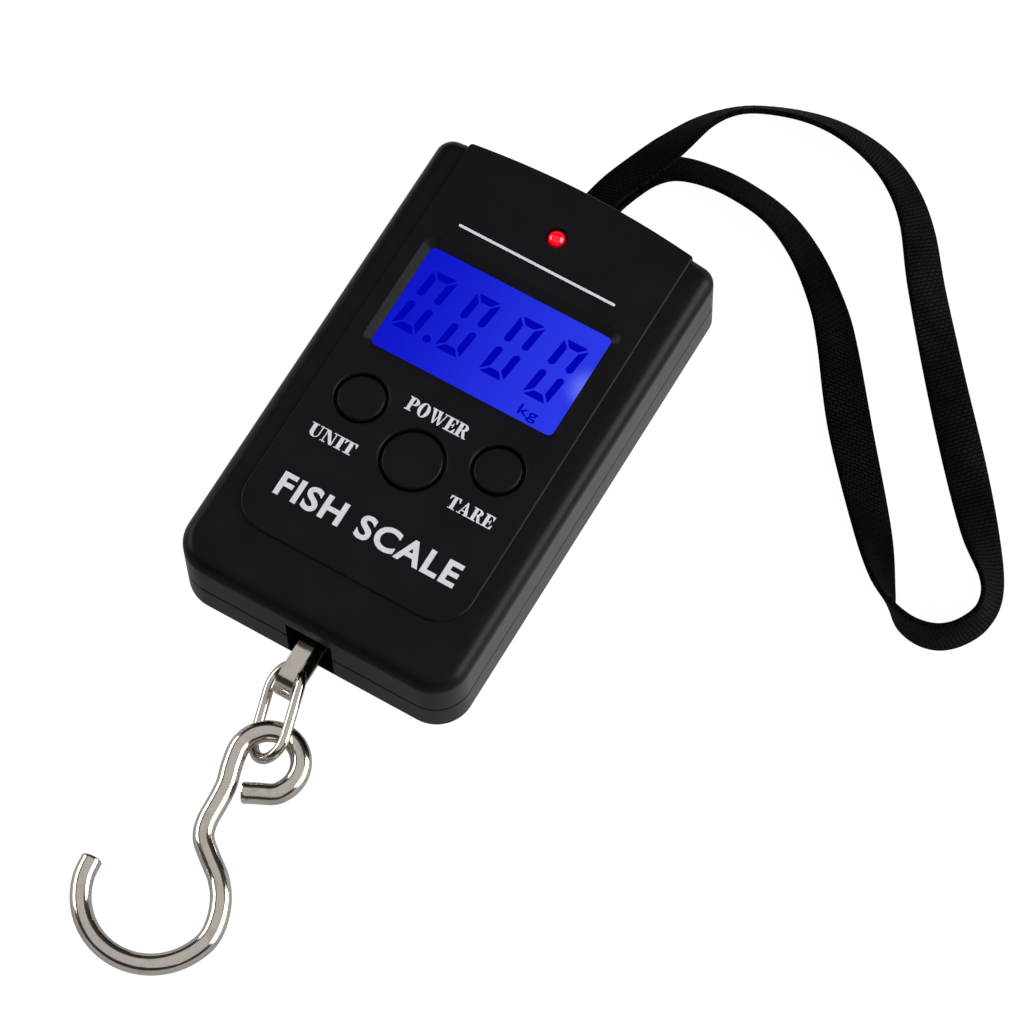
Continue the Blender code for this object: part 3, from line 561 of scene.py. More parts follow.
BUTTON_GAP = 0.5
BUTTON_RIM_R = 0.45
LED_R = 1.6
LED_FLANGE_R = 1.95
LED_Y = cad_centre("led").y
SLOT_X = 4.4
SLOT_TOP_Z = 12.3
STRAP_SLOT_X = 3.8
STRAP_SLOT_Z = (2.4, 9.7)
EDGE_SOFTNESS = 0.1


def button_place(name):
    """A button's centre in X and Y, and its cap's radius."""
    low, high = BUTTONS[name]
    return (low.x + high.x) / 2, (low.y + high.y) / 2, (high.x - low.x) / 2 - FLANGE


def arched_outline(half, low, high, low_r, top_r, top_steps):
    """A plan with round lower corners, smaller upper ones and an arched top end."""
    points = arc((-half + low_r, low + low_r), low_r, 180, 270, 14)
    points += arc((half - low_r, low + low_r), low_r, 270, 360, 14)
    points += arc((half - top_r, high - top_r), top_r, 0, 80, top_steps)
    reach = half - top_r
    for i in range(1, 24):
        x = reach * (1 - i / 12)
        points.append((x, high + ARCH_RISE * (1 - (x / reach) ** 2)))
    points += arc((-half + top_r, high - top_r), top_r, 100, 180, top_steps)
    return points


def case_outline(inset, tuck=1.0):
    """The case from above, moved in by inset. A tuck over 1 tightens its lower corners, for the inside."""
    low_r = BOTTOM_CORNER_R - tuck * inset
    top_r = max(TOP_CORNER_R - inset, 0.8)
    return arched_outline(HALF_W - inset, LOW_Y + inset, TOP_Y - inset, low_r, top_r, 12)


def inner_outline(inset):
    return case_outline(inset, 1.5)


def panel_outline(inset):
    return arched_outline(PANEL_HALF_W - inset, PANEL_LOW_Y + inset, TOP_Y - 0.1 - inset, PANEL_R - inset,
                          PANEL_TIP_R, 4)


def fillet(radius, top, steps):
    """Levels (height, inset) of a rounded upper rim that ends at the height top."""
    return [(top - radius + radius * math.sin(a), radius * (1 - math.cos(a))) for a in quarter(steps)]


def window_tools():
    """The display opening, and the sloping bevel round it with rounded corners."""
    x, y = (-WINDOW_X, WINDOW_X), WINDOW_Y
    sill, over = GLASS_HIGH.z + 0.45, FACE_Z + 0.5
    slope = WINDOW_BEVEL / (FACE_Z - sill)

    def opening(inset):
        grow = -inset
        corner_r = WINDOW_CORNER_R + max(grow, 0.0) * 0.95
        return rounded_rectangle((x[0] - grow, x[1] + grow), (y[0] - grow, y[1] + grow), corner_r)

    hole = slab("window_hole", opening, [(ROOF_Z - 2.0, 0.0), (FACE_Z + 2.0, 0.0)])
    bevel = slab("window_bevel", opening, [(sill, 0.0), (over, -slope * (over - sill))])
    return hole, bevel


def button_tool(name):
    x, y, cap_r = button_place(name)
    hole, rim = cap_r + BUTTON_GAP, BUTTON_RIM_R
    profile = [(0.0, ROOF_Z - 2.0), (hole, ROOF_Z - 2.0)]
    profile += [(hole + rim - rim * math.cos(a), FACE_Z - rim + rim * math.sin(a)) for a in quarter(6)]
    profile += [(hole + rim, FACE_Z + 1.0), (0.0, FACE_Z + 1.0)]
    return turned(name + "_hole", profile, (x, y, 0.0), steps=96)


def front_case(mat):
    levels = [(SEAM_HIGH, SEAM_CHAMFER), (SEAM_HIGH + SEAM_CHAMFER, 0.0)] + fillet(FRONT_R, MARGIN_Z, 12)
    case = slab("case_front_work", case_outline, levels)
    combine(case, "UNION", slab("panel", panel_outline, [(12.0, 0.0)] + fillet(PANEL_EDGE_R, FACE_Z, 5)))
    cavity = slab("cavity", inner_outline, [(SEAM_HIGH - 1.0, FRONT_WALL), (ROOF_Z - 1.0, FRONT_WALL),
                                            (ROOF_Z, FRONT_WALL + 1.0)])
    pocket = box("pocket", *grown(GLASS_LOW, GLASS_HIGH, 0.4), (ROOF_Z - 1.0, GLASS_HIGH.z + 0.3))
    slot = box("slot", (-SLOT_X, SLOT_X), (LOW_Y - 2.0, LOW_Y + 4.0), (SEAM_HIGH - 2.0, SLOT_TOP_Z))
    strap_slot = box("strap_slot", (-STRAP_SLOT_X, STRAP_SLOT_X), (TOP_Y - 4.0, TOP_Y + 4.0),
                     (SEAM_HIGH - 2.0, STRAP_SLOT_Z[1]))
    hole_r, mouth_r = LED_R + 0.25, LED_R + 0.45
    lamp_profile = [(0.0, 14.0), (hole_r, 14.0), (hole_r, FACE_Z - 0.15), (mouth_r, FACE_Z + 0.1),
                    (mouth_r, 20.0), (0.0, 20.0)]
    lamp_hole = turned("lamp_hole", lamp_profile, (0.0, LED_Y, 0.0), steps=48)
    combine(case, "DIFFERENCE", cavity, pocket)
    combine(case, "DIFFERENCE", *window_tools())
    combine(case, "DIFFERENCE", slot, strap_slot, lamp_hole, *(button_tool(name) for name in BUTTONS))
    soften(case, EDGE_SOFTNESS)
    return add_piece("case_front", baked(case), "case", mat, ("front_cover",), None)


def back_case(mat):
    rounding = [(BACK_R * (1 - math.sin(a)), BACK_R * (1 - math.cos(a))) for a in reversed(quarter(6))]
    levels = rounding + [(SEAM_LOW - SEAM_CHAMFER, 0.0), (SEAM_LOW, SEAM_CHAMFER)]
    case = slab("case_back_work", case_outline, levels)
    combine(case, "UNION", slab("tongue", inner_outline, [(4.0, TONGUE_INSET), (TONGUE_TOP_Z, TONGUE_INSET)]))
    cavity = slab("cavity", inner_outline, [(FLOOR_Z, BACK_WALL), (PAST_TONGUE_Z, BACK_WALL)])
    combine(case, "DIFFERENCE", cavity)
    tools = [box("slot", (-SLOT_X, SLOT_X), (LOW_Y - 2.0, LOW_Y + 2.5), (FLOOR_Z, PAST_TONGUE_Z)),
             box("strap_slot", (-STRAP_SLOT_X, STRAP_SLOT_X), (TOP_Y - 4.0, TOP_Y + 4.0),
                 (STRAP_SLOT_Z[0], PAST_TONGUE_Z))]
    for side in ("left", "right"):
        plan = rounded_rectangle(*grown(*cad_box("battery_door_" + side), SHELL_GAP), 1.0)
        tools.append(slab("door_" + side, lambda inset, plan=plan: plan, [(-1.0, 0.0), (FLOOR_Z + 1.0, 0.0)]))
    combine(case, "DIFFERENCE", *tools)
    places = [cad_centre(f"case_screw_{i + 1}").xy for i in range(4)]
    combine(case, "UNION", *(column("boss", 2.9, 0.9, 7.3, place, 48) for place in places))
    recess = [(0.0, -1.0), (2.35, -1.0), (2.35, 2.4), (1.4, 2.4), (1.4, 9.0), (0.0, 9.0)]
    combine(case, "DIFFERENCE", *(turned("recess", recess, (*place, 0.0), steps=48) for place in places))
    soften(case, EDGE_SOFTNESS)
    return add_piece("case_back", baked(case), "case", mat, ("back_cover",), None)


# ---------------- buttons, lamp and display

CAP_EDGE_R = 0.55
CAP_CROWN = 0.06
CAP_WALL = 0.4
POST_R = 1.3
POST_FOOT = 0.36


def button_cap(name, mat):
    """A hollow cap with a flange, a slightly domed top and a post over its switch."""
    x, y, cap_r = button_place(name)
    foot, top = (corner.z for corner in BUTTONS[name])
    inner_r, shoulder_r = cap_r - CAP_WALL, cap_r - CAP_EDGE_R
    profile = [(0.0, foot + POST_FOOT), (POST_R, foot + POST_FOOT), (POST_R, foot + 1.6),
               (inner_r, foot + 1.6), (inner_r, foot), (cap_r + FLANGE, foot), (cap_r + FLANGE, foot + 0.7),
               (cap_r, foot + 0.7)]
    profile += [(cap_r - inset, height) for height, inset in fillet(CAP_EDGE_R, top - CAP_CROWN, 8)]
    profile += [(shoulder_r * (1 - i / 6), top - CAP_CROWN * (1 - i / 6) ** 2) for i in range(1, 6)]
    body = turned(name + "_work", profile + [(0.0, top)], (x, y, 0.0), steps=96)
    return add_piece(name + "_cap", baked(body), name + "_key", mat, (name + "_button",))


def lamp(mat):
    low, high = cad_box("led")
    profile = [(0.0, low.z), (LED_FLANGE_R, low.z), (LED_FLANGE_R, low.z + 1.0), (LED_R, low.z + 1.0)]
    profile += [(LED_R * math.cos(a), high.z - LED_R + LED_R * math.sin(a)) for a in quarter(12)[:-1]]
    body = turned("led_work", profile + [(0.0, high.z)], (0.0, LED_Y, 0.0), steps=64)
    return add_piece("led_lens", baked(body), "case", mat, ("led",))


PRINT_GAP = 0.002
PRINT_TOP = 0.02


def flat_shapes(name, polygons, low, high, mat):
    """Thin flat shapes, each a polygon in X and Y, in one piece."""
    bm = bmesh.new()
    for polygon in polygons:
        lower = [bm.verts.new((x * MM, y * MM, low * MM)) for x, y in polygon]
        upper = [bm.verts.new((x * MM, y * MM, high * MM)) for x, y in polygon]
        for i in range(len(polygon)):
            j = (i + 1) % len(polygon)
            bm.faces.new((lower[i], lower[j], upper[j], upper[i]))
        bm.faces.new(lower[::-1])
        bm.faces.new(upper)
    return add_piece(name, baked(loose_object(name, bm)), "case", mat, smooth=20.0)


DIGIT_X = (-13.45, -4.95, 3.65, 12.15)
DIGIT_Y = 15.35
DIGIT_W = 4.8
DIGIT_H = 12.4
DIGIT_SLANT = math.tan(math.radians(6.8))
STROKE = 1.38
BAR_GAP = 0.24
BAR_BLUNTING = 0.16
POINT_AT = (-9.7, 9.75)
POINT_R = 0.72


def blunted(polygon, cut_back):
    """A polygon with each corner cut back, so that a printed shape has no needle points."""
    points = []
    for i, corner in enumerate(polygon):
        corner = Vector(corner)
        for other in (polygon[i - 1], polygon[(i + 1) % len(polygon)]):
            side = Vector(other) - corner
            points.append(tuple(corner + side.normalized() * min(cut_back, side.length * 0.45)))
    return points


def zero_segments(x, y):
    """The six bars of a slanted 0, with mitred ends and gaps between them."""
    w, h, s, gap = DIGIT_W / 2, DIGIT_H / 2, STROKE, BAR_GAP
    top = [(-w + gap + 0.1, h), (w - gap - 0.1, h), (w - s - 0.15, h - s), (-w + s + 0.15, h - s)]
    side = [(-w, h - gap - 0.1), (-w + s * 0.96, h - s - gap), (-w + s, 1.05), (-w + s / 2, 0.55), (-w, 1.0)]
    bars = [top, [(px, -py) for px, py in top[::-1]]]
    for flip_x in (1, -1):
        for flip_y in (1, -1):
            bar = [(px * flip_x, py * flip_y) for px, py in side]
            bars.append(bar if flip_x * flip_y > 0 else bar[::-1])
    return [[(x + px + py * DIGIT_SLANT, y + py) for px, py in blunted(bar, BAR_BLUNTING)]
            for bar in bars]


def display(blue, segment):
    low, high = GLASS_LOW, GLASS_HIGH
    plan = rounded_rectangle(*grown(low, high, 0.0), 0.6)
    glass = slab("lcd_work", lambda inset: plan, [(low.z, 0.0), (high.z, 0.0)])
    soften(glass, 0.12)
    add_piece("lcd_panel", baked(glass), "case", blue, ("lcd_glass",), None)
    bars = [bar for x in DIGIT_X for bar in zero_segments(x, DIGIT_Y)]
    bars.append(arc(POINT_AT, POINT_R, 0, 345, 23))
    flat_shapes("lcd_digits", bars, high.z + PRINT_GAP, high.z + PRINT_TOP, segment)
    lettering("lcd_unit", "kg", (12.0, 6.2), 3.6, 2.5, high.z + PRINT_GAP, segment, 0.018)


# ---------------- printing

THIN = 0.075


def feet(*spans):
    """Serifs on the base line for spans (x0, x1), and on the cap line for spans (x0, x1, "top")."""
    return [bar(span[0], span[1], *((1 - THIN, 1.0) if len(span) == 3 else (0.0, THIN))) for span in spans]


def half_ring(centre, outer, inner, start):
    """Half of an upright oval ring, from the angle start on through 180 degrees."""
    return oval(centre, *outer, start, start + 180) + oval(centre, *inner, start + 180, start)


def bowl(low):
    """The round part of a P or an R."""
    middle, ry = (1 + low) / 2, (1 - low) / 2
    return ([(0.36, 1.0)] + oval((0.46, middle), 0.40, ry, 90, -90) + [(0.36, low), (0.36, low + THIN)]
            + oval((0.46, middle), 0.13, ry - THIN, -90, 90) + [(0.36, 1 - THIN)])


def round_o(start):
    return half_ring((0.48, 0.5), (0.46, 0.53), (0.17, 0.47), start)


STEM = bar(0.12, 0.40, 0.0, 1.0)
# Bold serif capitals, one em high: each glyph is its width and its polygons.
GLYPHS = {
    "A": (1.06, [[(0.13, 0.0), (0.21, 0.0), (0.50, 0.86), (0.46, 1.0)],
                 [(0.42, 1.0), (0.56, 1.0), (0.95, 0.0), (0.63, 0.0)],
                 bar(0.24, 0.70, 0.27, 0.27 + THIN)] + feet((0.0, 0.35), (0.53, 1.06))),
    "E": (0.88, [STEM, bar(0.38, 0.58, 0.47, 0.54), bar(0.56, 0.63, 0.34, 0.67),
                 [(0.56, 1.0), (0.80, 1.0), (0.80, 0.68), (0.75, 0.68)],
                 [(0.58, 0.0), (0.84, 0.0), (0.86, 0.34), (0.80, 0.34)]]
          + feet((0.0, 0.84), (0.0, 0.80, "top"))),
    "I": (0.52, [STEM] + feet((0.0, 0.52), (0.0, 0.52, "top"))),
    "N": (1.04, [bar(0.14, 0.14 + THIN, 0.0, 1.0), bar(0.80, 0.80 + THIN, 0.0, 1.0),
                 [(0.10, 1.0), (0.40, 1.0), (0.875, 0.0), (0.66, 0.0)]]
          + feet((0.0, 0.36), (0.0, 0.30, "top"), (0.64, 1.02, "top"))),
    "O": (0.98, [round_o(90), round_o(270)]),
    "P": (0.90, [STEM, bowl(0.45)] + feet((0.0, 0.54), (0.0, 0.40, "top"))),
    "R": (1.02, [STEM, bowl(0.48),
                 [(0.44, 0.52), (0.66, 0.56), (0.92, 0.06), (1.0, 0.08), (1.0, 0.0), (0.70, 0.0)]]
          + feet((0.0, 0.54), (0.0, 0.40, "top"))),
    "T": (0.92, [bar(0.30, 0.58, 0.0, 1.0), [(0.0, 1.0), (0.0, 0.66), (0.05, 0.66), (0.22, 1.0)],
                 [(0.66, 1.0), (0.83, 0.66), (0.88, 0.66), (0.88, 1.0)]]
          + feet((0.16, 0.72), (0.0, 0.88, "top"))),
    "U": (1.0, [bar(0.12, 0.40, 0.34, 1.0), bar(0.76, 0.76 + THIN, 0.34, 1.0),
                oval((0.4775, 0.36), 0.3575, 0.38, 180, 360) + oval((0.58, 0.36), 0.18, 0.29, 360, 180)]
          + feet((0.0, 0.52, "top"), (0.62, 0.97, "top"))),
    "W": (1.38, [[(0.06, 1.0), (0.36, 1.0), (0.56, 0.0), (0.44, 0.0)],
                 [(0.48, 0.0), (0.56, 0.0), (0.78, 0.86), (0.74, 1.0)],
                 [(0.50, 1.0), (0.80, 1.0), (1.0, 0.0), (0.88, 0.0)],
                 [(0.92, 0.0), (1.0, 0.0), (1.26, 1.0), (1.18, 1.0)]]
          + feet((0.0, 0.42, "top"), (0.46, 0.86, "top"), (1.04, 1.38, "top"))),
}


def serif_label(name, word, centre, width, height, mat):
    """A word in bold serif capitals, printed on the face within the given width and height."""
    total = sum(GLYPHS[letter][0] for letter in word)
    prisms, start = [], 0.0
    for letter in word:
        advance, polygons = GLYPHS[letter]
        for polygon in polygons:
            plan = [(centre[0] + ((start + px) / total - 0.5) * width, centre[1] + (py - 0.5) * height)
                    for px, py in polygon]
            levels = [(FACE_Z + PRINT_GAP, 0.0), (FACE_Z + PRINT_TOP, 0.0)]
            prisms.append(slab("glyph", lambda inset, plan=plan: plan, levels))
        start += advance
    combine(prisms[0], "UNION", *prisms[1:])
    return add_piece(name, baked(prisms[0]), "case", mat, smooth=20.0)


def lettering(name, words, centre, width, height, z, mat, weight):
    """Plain letters fitted to a box of the given width and height, a hair above a surface."""
    curve = bpy.data.curves.new(name, "FONT")
    curve.body = words
    curve.offset = weight
    curve.space_character = 1.12
    curve.extrude = 0.01
    curve.resolution_u = 6
    text = bpy.data.objects.new(name + "_text", curve)
    bpy.context.scene.collection.objects.link(text)
    mesh = baked(text)
    xs = [v.co.x for v in mesh.vertices]
    ys = [v.co.y for v in mesh.vertices]
    grow_x = width * MM / (max(xs) - min(xs))
    grow_y = height * MM / (max(ys) - min(ys))
    for v in mesh.vertices:
        v.co.x = (v.co.x - (max(xs) + min(xs)) / 2) * grow_x + centre[0] * MM
        v.co.y = (v.co.y - (max(ys) + min(ys)) / 2) * grow_y + centre[1] * MM
        v.co.z = (z + (PRINT_TOP if v.co.z > 0 else 0.0)) * MM
    return add_piece(name, mesh, "case", mat)


LINE_Y = 30.3
LINE_X = (-15.3, 14.7)
LINE_HALF_W = 0.25


def printing(ink):
    serif_label("label_unit", "UNIT", (-13.4, -14.5), 8.9, 2.4, ink)
    serif_label("label_power", "POWER", (-0.2, -2.4), 11.8, 2.6, ink)
    serif_label("label_tare", "TARE", (13.3, -14.4), 8.6, 2.4, ink)
    lettering("label_name", "FISH SCALE", (0.2, -25.5), 34.6, 4.6, FACE_Z, ink, 0.03)
    line = arc((LINE_X[1], LINE_Y), LINE_HALF_W, -90, 90, 6)
    line += arc((LINE_X[0], LINE_Y), LINE_HALF_W, 90, 270, 6)
    flat_shapes("printed_line", [line], FACE_Z, FACE_Z + PRINT_TOP, ink)


# ---------------- hanger, link and hook

LOAD_Z = 6.0
HANGER_T = 1.0
HANGER_W = 2.9
HANGER_MID_R = 3.8
HANGER_FOLD_Y = -49.8
HANGER_LUG_R = 3.0
HANGER_PIN_R = 1.5
LINK_TOP = Vector((-0.5, -52.6, 4.95))
LINK_LOW = Vector((1.63, -60.43, 4.05))
LINK_BEND_R = 4.16
LINK_ROLL = math.radians(45.0)
LINK_WIRE_R = 0.9
HOOK_WIRE_R = 1.8
HOOK_EYE = (3.8, -64.8)
HOOK_EYE_R = 5.53
HOOK_BEND = (-0.74, -93.07)
HOOK_BEND_R = 12.0
HOOK_LOW_Y = -106.0
HOOK_LOW_Z = 1.88
HOOK_SLOPE = 0.05


def swept_wire(name, points, radius, sides=28, closed=False, tip=0.0):
    """A round wire through points, with a small chamfer of size tip at each open end."""
    count = len(points)
    tangents = []
    for i in range(count):
        ahead = points[(i + 1) % count] if closed else points[min(i + 1, count - 1)]
        behind = points[i - 1] if closed or i > 0 else points[0]
        tangents.append((ahead - behind).normalized())
    side = tangents[0].orthogonal().normalized()
    rings = []
    for point, run in zip(points, tangents):
        side = (side - run * side.dot(run)).normalized()
        other = run.cross(side)
        rings.append([point + radius * (side * math.cos(a) + other * math.sin(a))
                      for a in (2 * math.pi * k / sides for k in range(sides))])
    if not closed:
        for end, inward in ((0, 1), (-1, -1)):
            middle = points[end]
            shift = tangents[end] * tip * inward
            narrow = [middle + (p - middle) * (1 - tip / radius) for p in rings[end]]
            rings[end] = [p + shift for p in rings[end]]
            rings.insert(0 if inward > 0 else len(rings), narrow)
        return loft(name, rings)
    bm = bmesh.new()
    rows = [[bm.verts.new(p * MM) for p in ring] for ring in rings]
    for a, b in zip(rows, rows[1:]):
        for k in range(sides):
            n = (k + 1) % sides
            bm.faces.new((a[k], a[n], b[n], b[k]))
    turn = min(range(sides), key=lambda k: (rings[0][k] - rings[-1][0]).length)
    for k in range(sides):
        n = (k + 1) % sides
        bm.faces.new((rows[-1][k], rows[-1][n], rows[0][(n + turn) % sides], rows[0][(k + turn) % sides]))
    return loose_object(name, bm)


def hanger(mat):
    y0, fold, half = cad_box("hanger")[1].y - HANGER_LUG_R, HANGER_FOLD_Y, HANGER_T / 2
    outer = arc((fold, LOAD_Z), HANGER_MID_R + half, 90, 270, 40)
    inner = arc((fold, LOAD_Z), HANGER_MID_R - half, 270, 90, 40)
    top, under = LOAD_Z + HANGER_MID_R, LOAD_Z - HANGER_MID_R
    outline = [(y0, top + half)] + outer + [(y0, under - half), (y0, under + half)]
    outline += inner + [(y0, top - half)]
    strip = loft("hanger_work", [[(x, y, z) for y, z in outline] for x in (-HANGER_W / 2, HANGER_W / 2)])
    lugs = [column("lug", HANGER_LUG_R, z - half, z + half, (0.0, y0)) for z in (top, under)]
    combine(strip, "UNION", *lugs)
    combine(strip, "DIFFERENCE", column("pin_hole", HANGER_PIN_R, -2.0, 14.0, (0.0, y0)))
    soften(strip, 0.16, 40.0, 3)
    return add_piece("hanger_strip", baked(strip), "hanger", mat, ("hanger",), None)


def chain_link(mat):
    along = (LINK_LOW - LINK_TOP).normalized()
    level = Vector((-along.y, along.x, 0.0)).normalized()
    across = level * math.cos(LINK_ROLL) + along.cross(level) * math.sin(LINK_ROLL)
    points = []
    for centre, sign in ((LINK_TOP, 1.0), (LINK_LOW, -1.0)):
        for i in range(33):
            a = math.pi * i / 32
            points.append(centre + sign * LINK_BEND_R * (math.cos(a) * across - math.sin(a) * along))
    ring = swept_wire("link_work", points, LINK_WIRE_R, 28, closed=True)
    return add_piece("link_ring", baked(ring), "chain_link", mat, ("chain_link",), 80.0)


def hook_route():
    """The hook's middle line from the cut end of its eye to its tip."""
    flat = [(2.75, -71.3), (5.0, -70.15)]
    flat += arc(HOOK_EYE, HOOK_EYE_R, -48, 184, 12)
    flat += [(-1.1, -68.3), (-0.15, -71.5), (0.15, -74.9), (0.35, -78.3), (1.35, -81.0), (4.0, -83.3),
             (7.0, -85.6), (9.2, -88.3), (10.66, -91.74)]
    flat += arc(HOOK_BEND, HOOK_BEND_R, -10, -181, 11)
    return [(x, y, HOOK_LOW_Z + (y - HOOK_LOW_Y) * HOOK_SLOPE) for x, y in flat]


def hook(mat):
    wire = swept_wire("hook_work", smooth_route(hook_route(), 0.7), HOOK_WIRE_R, 36, tip=0.25)
    return add_piece("hook_wire", baked(wire), "hook", mat, ("hook",), 45.0)


# ---------------- strap

STRAP_W = 8.5
STRAP_GATHERED_W = 5.6
STRAP_GATHER_REACH = 22.0
STRAP_STEP = 0.42
STRAP_T = 1.0
STRAP_PIN_Y = 39.6
STRAP_WRAP_R = 2.3
WEAVE_DEPTH = 0.03
WEAVE_PITCH = 1.2
FLOOR_GAP = 0.05
STRAP_ROUTE = (
    (0.1, 48.6, 8.3, -3.0),
    (0.5, 51.3, 8.1, -8.0),
    (1.4, 55.0, 7.8, -14.0),
    (3.6, 61.3, 7.2, -24.0),
    (5.1, 67.0, 6.2, -36.0),
    (7.1, 73.6, 5.0, -50.0),
    (10.0, 78.3, 4.2, -57.0),
    (14.0, 81.5, 3.8, -58.0),
    (21.4, 84.4, 3.7, -55.0),
    (28.7, 85.4, 3.6, -50.0),
    (36.5, 84.2, 3.4, -45.0),
    (43.1, 80.9, 3.3, -44.0),
    (49.1, 75.4, 3.3, -43.0),
    (56.0, 66.1, 3.1, -37.0),
    (66.8, 52.8, 2.7, -30.0),
    (77.0, 40.7, 2.6, -26.0),
    (85.6, 30.3, 3.1, -37.0),
    (91.8, 22.6, 3.9, -62.0),
    (93.2, 17.2, 4.1, -76.0),
    (91.6, 12.8, 4.1, -81.0),
    (88.6, 9.9, 4.1, -84.0),
    (84.5, 9.0, 4.1, -88.0),
    (80.1, 10.2, 4.1, -96.0),
    (76.0, 13.8, 3.9, -119.0),
    (69.2, 22.4, 3.0, -143.0),
    (57.4, 36.6, 2.3, -157.0),
    (48.0, 49.0, 2.7, -147.0),
    (42.9, 54.8, 3.0, -142.0),
    (35.3, 61.1, 3.2, -138.0),
    (27.3, 65.2, 3.3, -137.0),
    (18.8, 66.5, 3.4, -138.0),
    (12.0, 66.0, 3.5, -140.0),
    (6.9, 64.2, 3.7, -145.0),
    (3.6, 60.8, 4.0, -153.0),
    (1.6, 56.3, 4.1, -164.0),
    (0.4, 51.8, 3.9, -173.0),
    (0.1, 48.4, 3.7, -177.0),
)


def strap_width(distance):
    """The strap's width so far from the case: gathered at its slot, and full further out."""
    share = min(distance / STRAP_GATHER_REACH, 1.0)
    return STRAP_GATHERED_W + (STRAP_W - STRAP_GATHERED_W) * share * share * (3 - 2 * share)


def strap_stations():
    """The strap's stations (middle, direction of its width, width), and how many lie outside the case."""
    free = smooth_route(STRAP_ROUTE, STRAP_STEP)
    last = len(free) - 1
    stations = []
    for i, row in enumerate(free):
        ahead = free[min(i + 1, last)].xyz - free[max(i - 1, 0)].xyz
        run = ahead.normalized()
        level = Vector((-run.y, run.x, 0.0)).normalized()
        up = run.cross(level)
        lean = math.radians(row.w)
        across = level * math.cos(lean) + up * math.sin(lean)
        width = strap_width(min(i, last - i) * STRAP_STEP)
        edge_drop = width / 2 * abs(across.z) + STRAP_T / 2 * abs(run.cross(across).z)
        middle = row.xyz
        middle.z = max(middle.z, edge_drop + FLOOR_GAP)
        stations.append((middle, across, width))
    across = Vector((-1.0, 0.0, 0.0))
    low_z, high_z = LOAD_Z - STRAP_WRAP_R, LOAD_Z + STRAP_WRAP_R
    straight = [STRAP_ROUTE[0][1] - 0.75 * i for i in range(1, 12)]
    inside = [(y, low_z) for y in straight]
    inside += arc((STRAP_PIN_Y, LOAD_Z), STRAP_WRAP_R, 270, 90, 24)
    inside += [(y, high_z) for y in reversed(straight)]
    return stations + [(Vector((0.0, y, z)), across, STRAP_GATHERED_W) for y, z in inside], len(stations)


def strap_section(columns):
    """Half-width and half-thickness shares round the tape: flat faces and round selvedges."""
    shares = [1 - 2 * i / columns for i in range(columns + 1)]
    half = [(s * 0.955, 1.0 - 0.12 * abs(s) ** 8) for s in shares] + [(-0.99, 0.45), (-0.99, -0.45)]
    return half + [(-s, -t) for s, t in half]


def strap(mat):
    stations, free_count = strap_stations()
    section = strap_section(16)
    bm = bmesh.new()
    layer = bm.loops.layers.uv.new("UVMap")
    count = len(stations)
    rows = []
    for i, (middle, across, width) in enumerate(stations):
        run = (stations[(i + 1) % count][0] - stations[i - 1][0]).normalized()
        normal = run.cross(across).normalized()
        row = []
        for s, t in section:
            turns = i * STRAP_STEP / WEAVE_PITCH + s * 3.5
            weave = WEAVE_DEPTH * math.sin(2 * math.pi * turns) if abs(s) < 0.9 else 0.0
            rise = normal * (STRAP_T / 2 * t + math.copysign(weave, t))
            row.append(bm.verts.new((middle + across * (width / 2 * s) + rise) * MM))
        rows.append(row)
    sides = len(section)
    for i in range(count):
        j = (i + 1) % count
        for k in range(sides):
            n = (k + 1) % sides
            face = bm.faces.new((rows[i][k], rows[i][n], rows[j][n], rows[j][k]))
            for loop, (column, ahead) in zip(face.loops, ((k, 0), (n, 0), (n, 1), (k, 1))):
                loop[layer].uv = (section[column][0] * STRAP_W / 2, (i + ahead) * STRAP_STEP)
    tape = baked(loose_object("strap_work", bm))
    band = add_piece("strap_tape", tape, "case", mat, ("strap",), 60.0)
    start = free_count + (len(stations) - free_count) // 2
    loop = [middle * MM for middle, across, width in stations[start:] + stations[:start + 1]]


# ---------------- carried-over CAD nodes

def dress_cad_nodes(plastic):
    """Gives each CAD node that still shows its own finish."""
    finishes = {
        "case_black": plastic,
        "light_guide": speckled("light_guide", (0.75, 0.80, 0.95), (0.9, 0.93, 1.0), 0.3, 900.0),
        "grey_rubber": speckled("grey_rubber", (0.20, 0.20, 0.22), (0.30, 0.30, 0.32), 0.8, 2500.0),
        "white_plastic": speckled("white_plastic", (0.80, 0.80, 0.78), (0.72, 0.72, 0.69), 0.5, 1800.0),
        "circuit_board": circuit_mask(),
        "epoxy": speckled("epoxy", (0.01, 0.01, 0.01), (0.02, 0.02, 0.02), 0.3, 700.0),
        "load_cell_aluminium": stamped_steel("load_cell_aluminium", (0.75, 0.76, 0.78), 0.32),
        "gauge_film": speckled("gauge_film", (0.72, 0.42, 0.10), (0.50, 0.26, 0.05), 0.35, 3500.0),
        "plated_steel": stamped_steel("plated_steel", (0.58, 0.58, 0.58), 0.28),
        "nickel": NICKEL,
        "cell_label": battery_sleeve(),
        # The red wire's colours are darkened as painted shade, so the wire reads dark where it shows inside
        # the hanger's slot.
        "wire_red": speckled("wire_red", (0.20, 0.008, 0.008), (0.15, 0.004, 0.004), 0.4, 1500.0),
    }
    for part in frame["record"]["subparts"]:
        obj = frame["nodes"][part["node"]]
        if obj.hide_render:
            continue
        finish = finishes[part["material_slot"]]
        obj.data.materials.clear()
        obj.data.materials.append(finish)


# ---------------- stage

# How bright the studio is from straight ahead up to overhead, as (height, grey).
SKY_STOPS = ((0.0, 0.60), (0.06, 0.40), (0.14, 0.05), (0.5, 0.03), (1.0, 0.10))
FLOOR_SIZE_M = 4.0
FLOOR_Z_M = -0.0001


